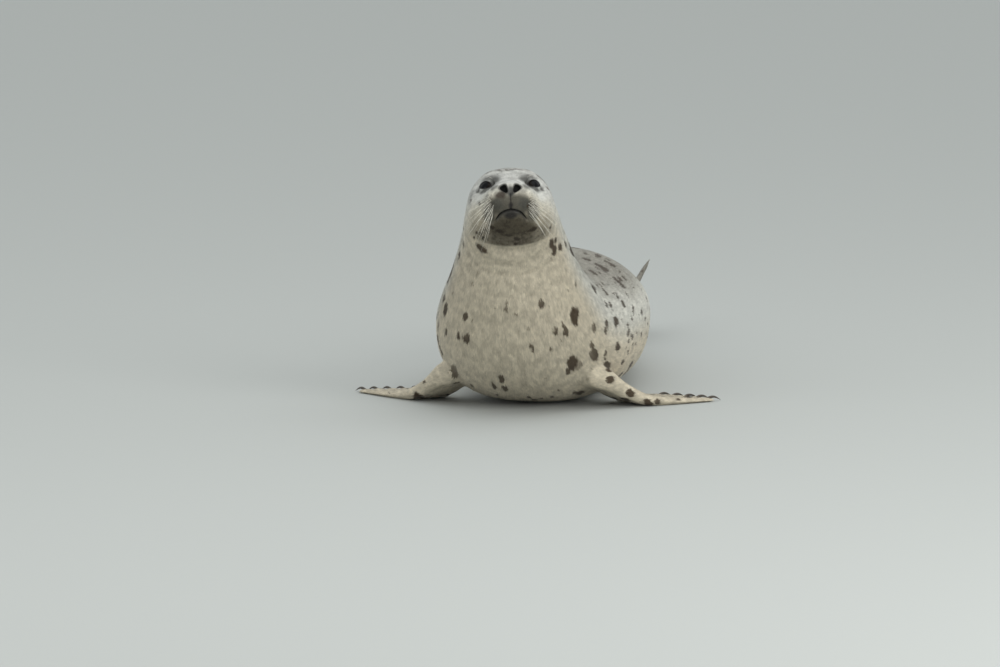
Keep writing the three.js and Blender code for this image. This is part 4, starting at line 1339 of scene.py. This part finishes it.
def placeTufts(ground, facts, slot, lies, density):
    # each tuft's root on the skin, drawn by area, and what the skin has there
    onFace = slot == "face_coat"
    if slot == "flipper_coat":
        chosen = np.isin(ground["part"], lies)
    else:
        first, last = lies
        chosen = (ground["part"] == 0) & (ground["station"] >= first) & (ground["station"] < last)
    crowding = 1.5 - 0.6 * smooth(ground["back"], 30, 80) if onFace else 1  # closest at the nose
    weight = ground["area"] * (chosen & ground["furred"]) * crowding
    count = int((ground["area"] * (weight > 0)).sum() / 100 * density)
    picks = draws.choice(len(weight), count, p=weight / weight.sum())
    share = draws.random((count, 2))
    share[share.sum(1) > 1] = 1 - share[share.sum(1) > 1]
    bary = np.stack([1 - share.sum(1), share[:, 0], share[:, 1]], -1)[..., None]
    verts = ground["verts"][picks]

    def mixed(corners):
        return (corners * bary).sum(1)

    return {
        "count": count, "root": mixed(ground["corners"][picks]),
        "normal": unit(mixed(ground["normals"][verts])), "flow": mixed(facts["flow"][verts]),
        "place": mixed(facts["place"][verts]), "dots": mixed(facts["follicle"][verts][..., None]),
        "map": mixed(facts["loopMap"][ground["loops"][picks]]),
        "grown": smooth(ground["back"][picks], 0, 60) if onFace else np.ones(count),  # smallest at the nose
    }


def shapeTufts(ground, roots, template, long, wide):
    # the template laid along the flow at each root; gives the points and their rounded normals
    count, normal = roots["count"], roots["normal"]
    flow = unit(roots["flow"] - normal * dot(roots["flow"], normal)[:, None])
    aside = np.cross(flow, normal)
    turn = draws.normal(0, tuft["swing"], count)[:, None]
    flow, aside = flow * np.cos(turn) + aside * np.sin(turn), aside * np.cos(turn) - flow * np.sin(turn)
    length = long * draws.uniform(0.75, 1.2, count) * (0.55 + 0.45 * roots["grown"])
    width = wide * draws.uniform(0.75, 1.25, count) * (0.7 + 0.3 * roots["grown"])
    rise = tuft["rise"] * draws.uniform(0.5, 1.5, count)
    x, y, z = (template[None, :, k] for k in range(3))
    lift = length[:, None] * rise[:, None] * y - tuft["sunk"] * (y < 0.01)
    built = (
        roots["root"][:, None, :]
        + aside[:, None, :] * (x * width[:, None])[..., None]
        + flow[:, None, :] * (y * length[:, None])[..., None]
        + normal[:, None, :] * (lift + z * tuft["thick"] * width[:, None])[..., None]
    )
    tip = int(np.argmax(template[:, 1]))
    built[:, tip] = settleTips(ground, built[:, tip], length * rise, normal)
    built[..., 2] = np.maximum(built[..., 2], tuft["floor"])
    return built, unit(normal[:, None, :] + aside[:, None, :] * (x * tuft["round"])[..., None])


def tuftMesh(name, built, faces):
    count, size = built.shape[:2]
    triangles = (faces[None] + np.arange(count)[:, None, None] * size).reshape(-1, 3)
    data = bpy.data.meshes.new(name)
    data.vertices.add(count * size)
    data.vertices.foreach_set("co", (built * mm).ravel())
    data.loops.add(triangles.size)
    data.loops.foreach_set("vertex_index", triangles.ravel())
    data.polygons.add(len(triangles))
    data.polygons.foreach_set("loop_start", np.arange(0, triangles.size, 3))
    data.polygons.foreach_set("loop_total", np.full(len(triangles), 3))
    data.polygons.foreach_set("use_smooth", np.ones(len(triangles), bool))
    data.update()
    return data, triangles


def buildCoat(made, facts, material):
    ground = readGround(made.data, facts)
    template, faces = tuftTemplate()
    size = len(template)
    patch = np.stack([template[:, 0], template[:, 1] - 0.5], -1) * tuft["mapPatch"]
    for name, (slot, lies, density, long, wide) in coatStretches.items():
        roots = placeTufts(ground, facts, slot, lies, density)
        built, rounded = shapeTufts(ground, roots, template, long, wide)
        data, triangles = tuftMesh(name, built, faces)
        setAttribute(data, "bodyPlace", "FLOAT_VECTOR", np.repeat(roots["place"], size, 0))
        setAttribute(data, "follicle", "FLOAT", np.repeat(roots["dots"], size, 0))
        # each tuft's random tone, plus painted shade that darkens it at the root and lightens it towards the
        # tip
        shade = draws.uniform(-1, 1, roots["count"])[:, None] + 0.8 * (template[None, :, 1] - 0.5)
        setAttribute(data, "shade", "FLOAT", shade)
        data.normals_split_custom_set_from_vertices(rounded.reshape(-1, 3))
        mapped = (roots["map"][:, None, :] + patch[None]).reshape(-1, 2)
        layer = data.uv_layers.new(name="OFBake")
        layer.data.foreach_set("uv", mapped[triangles.ravel()].ravel())
        finish(addObject(name, data), material)
        print(name, roots["count"], "tufts,", len(triangles), "triangles")


fleshNodes = [
    "head", "muzzle", "nose", "lower_jaw", "neck", "shoulders", "torso", "loin", "hindquarters", "tail",
    "fore_flipper_left", "fore_flipper_right", "hind_flipper_left", "hind_flipper_right",
]
buildStage()
skinPiece, skinFacts = buildSkin()
roots = whiskerRoots()
markRoots(skinPiece, skinFacts, roots)
markings = buildMarkings()
finish(skinPiece, markedMaterial("furredSkin", markings, 0.0005, 0.0))
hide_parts(*fleshNodes)
buildEyes()
buildClaws()
buildWhiskers(roots)
buildCoat(skinPiece, skinFacts, markedMaterial("coatTufts", markings, 0.0002, 0.08))
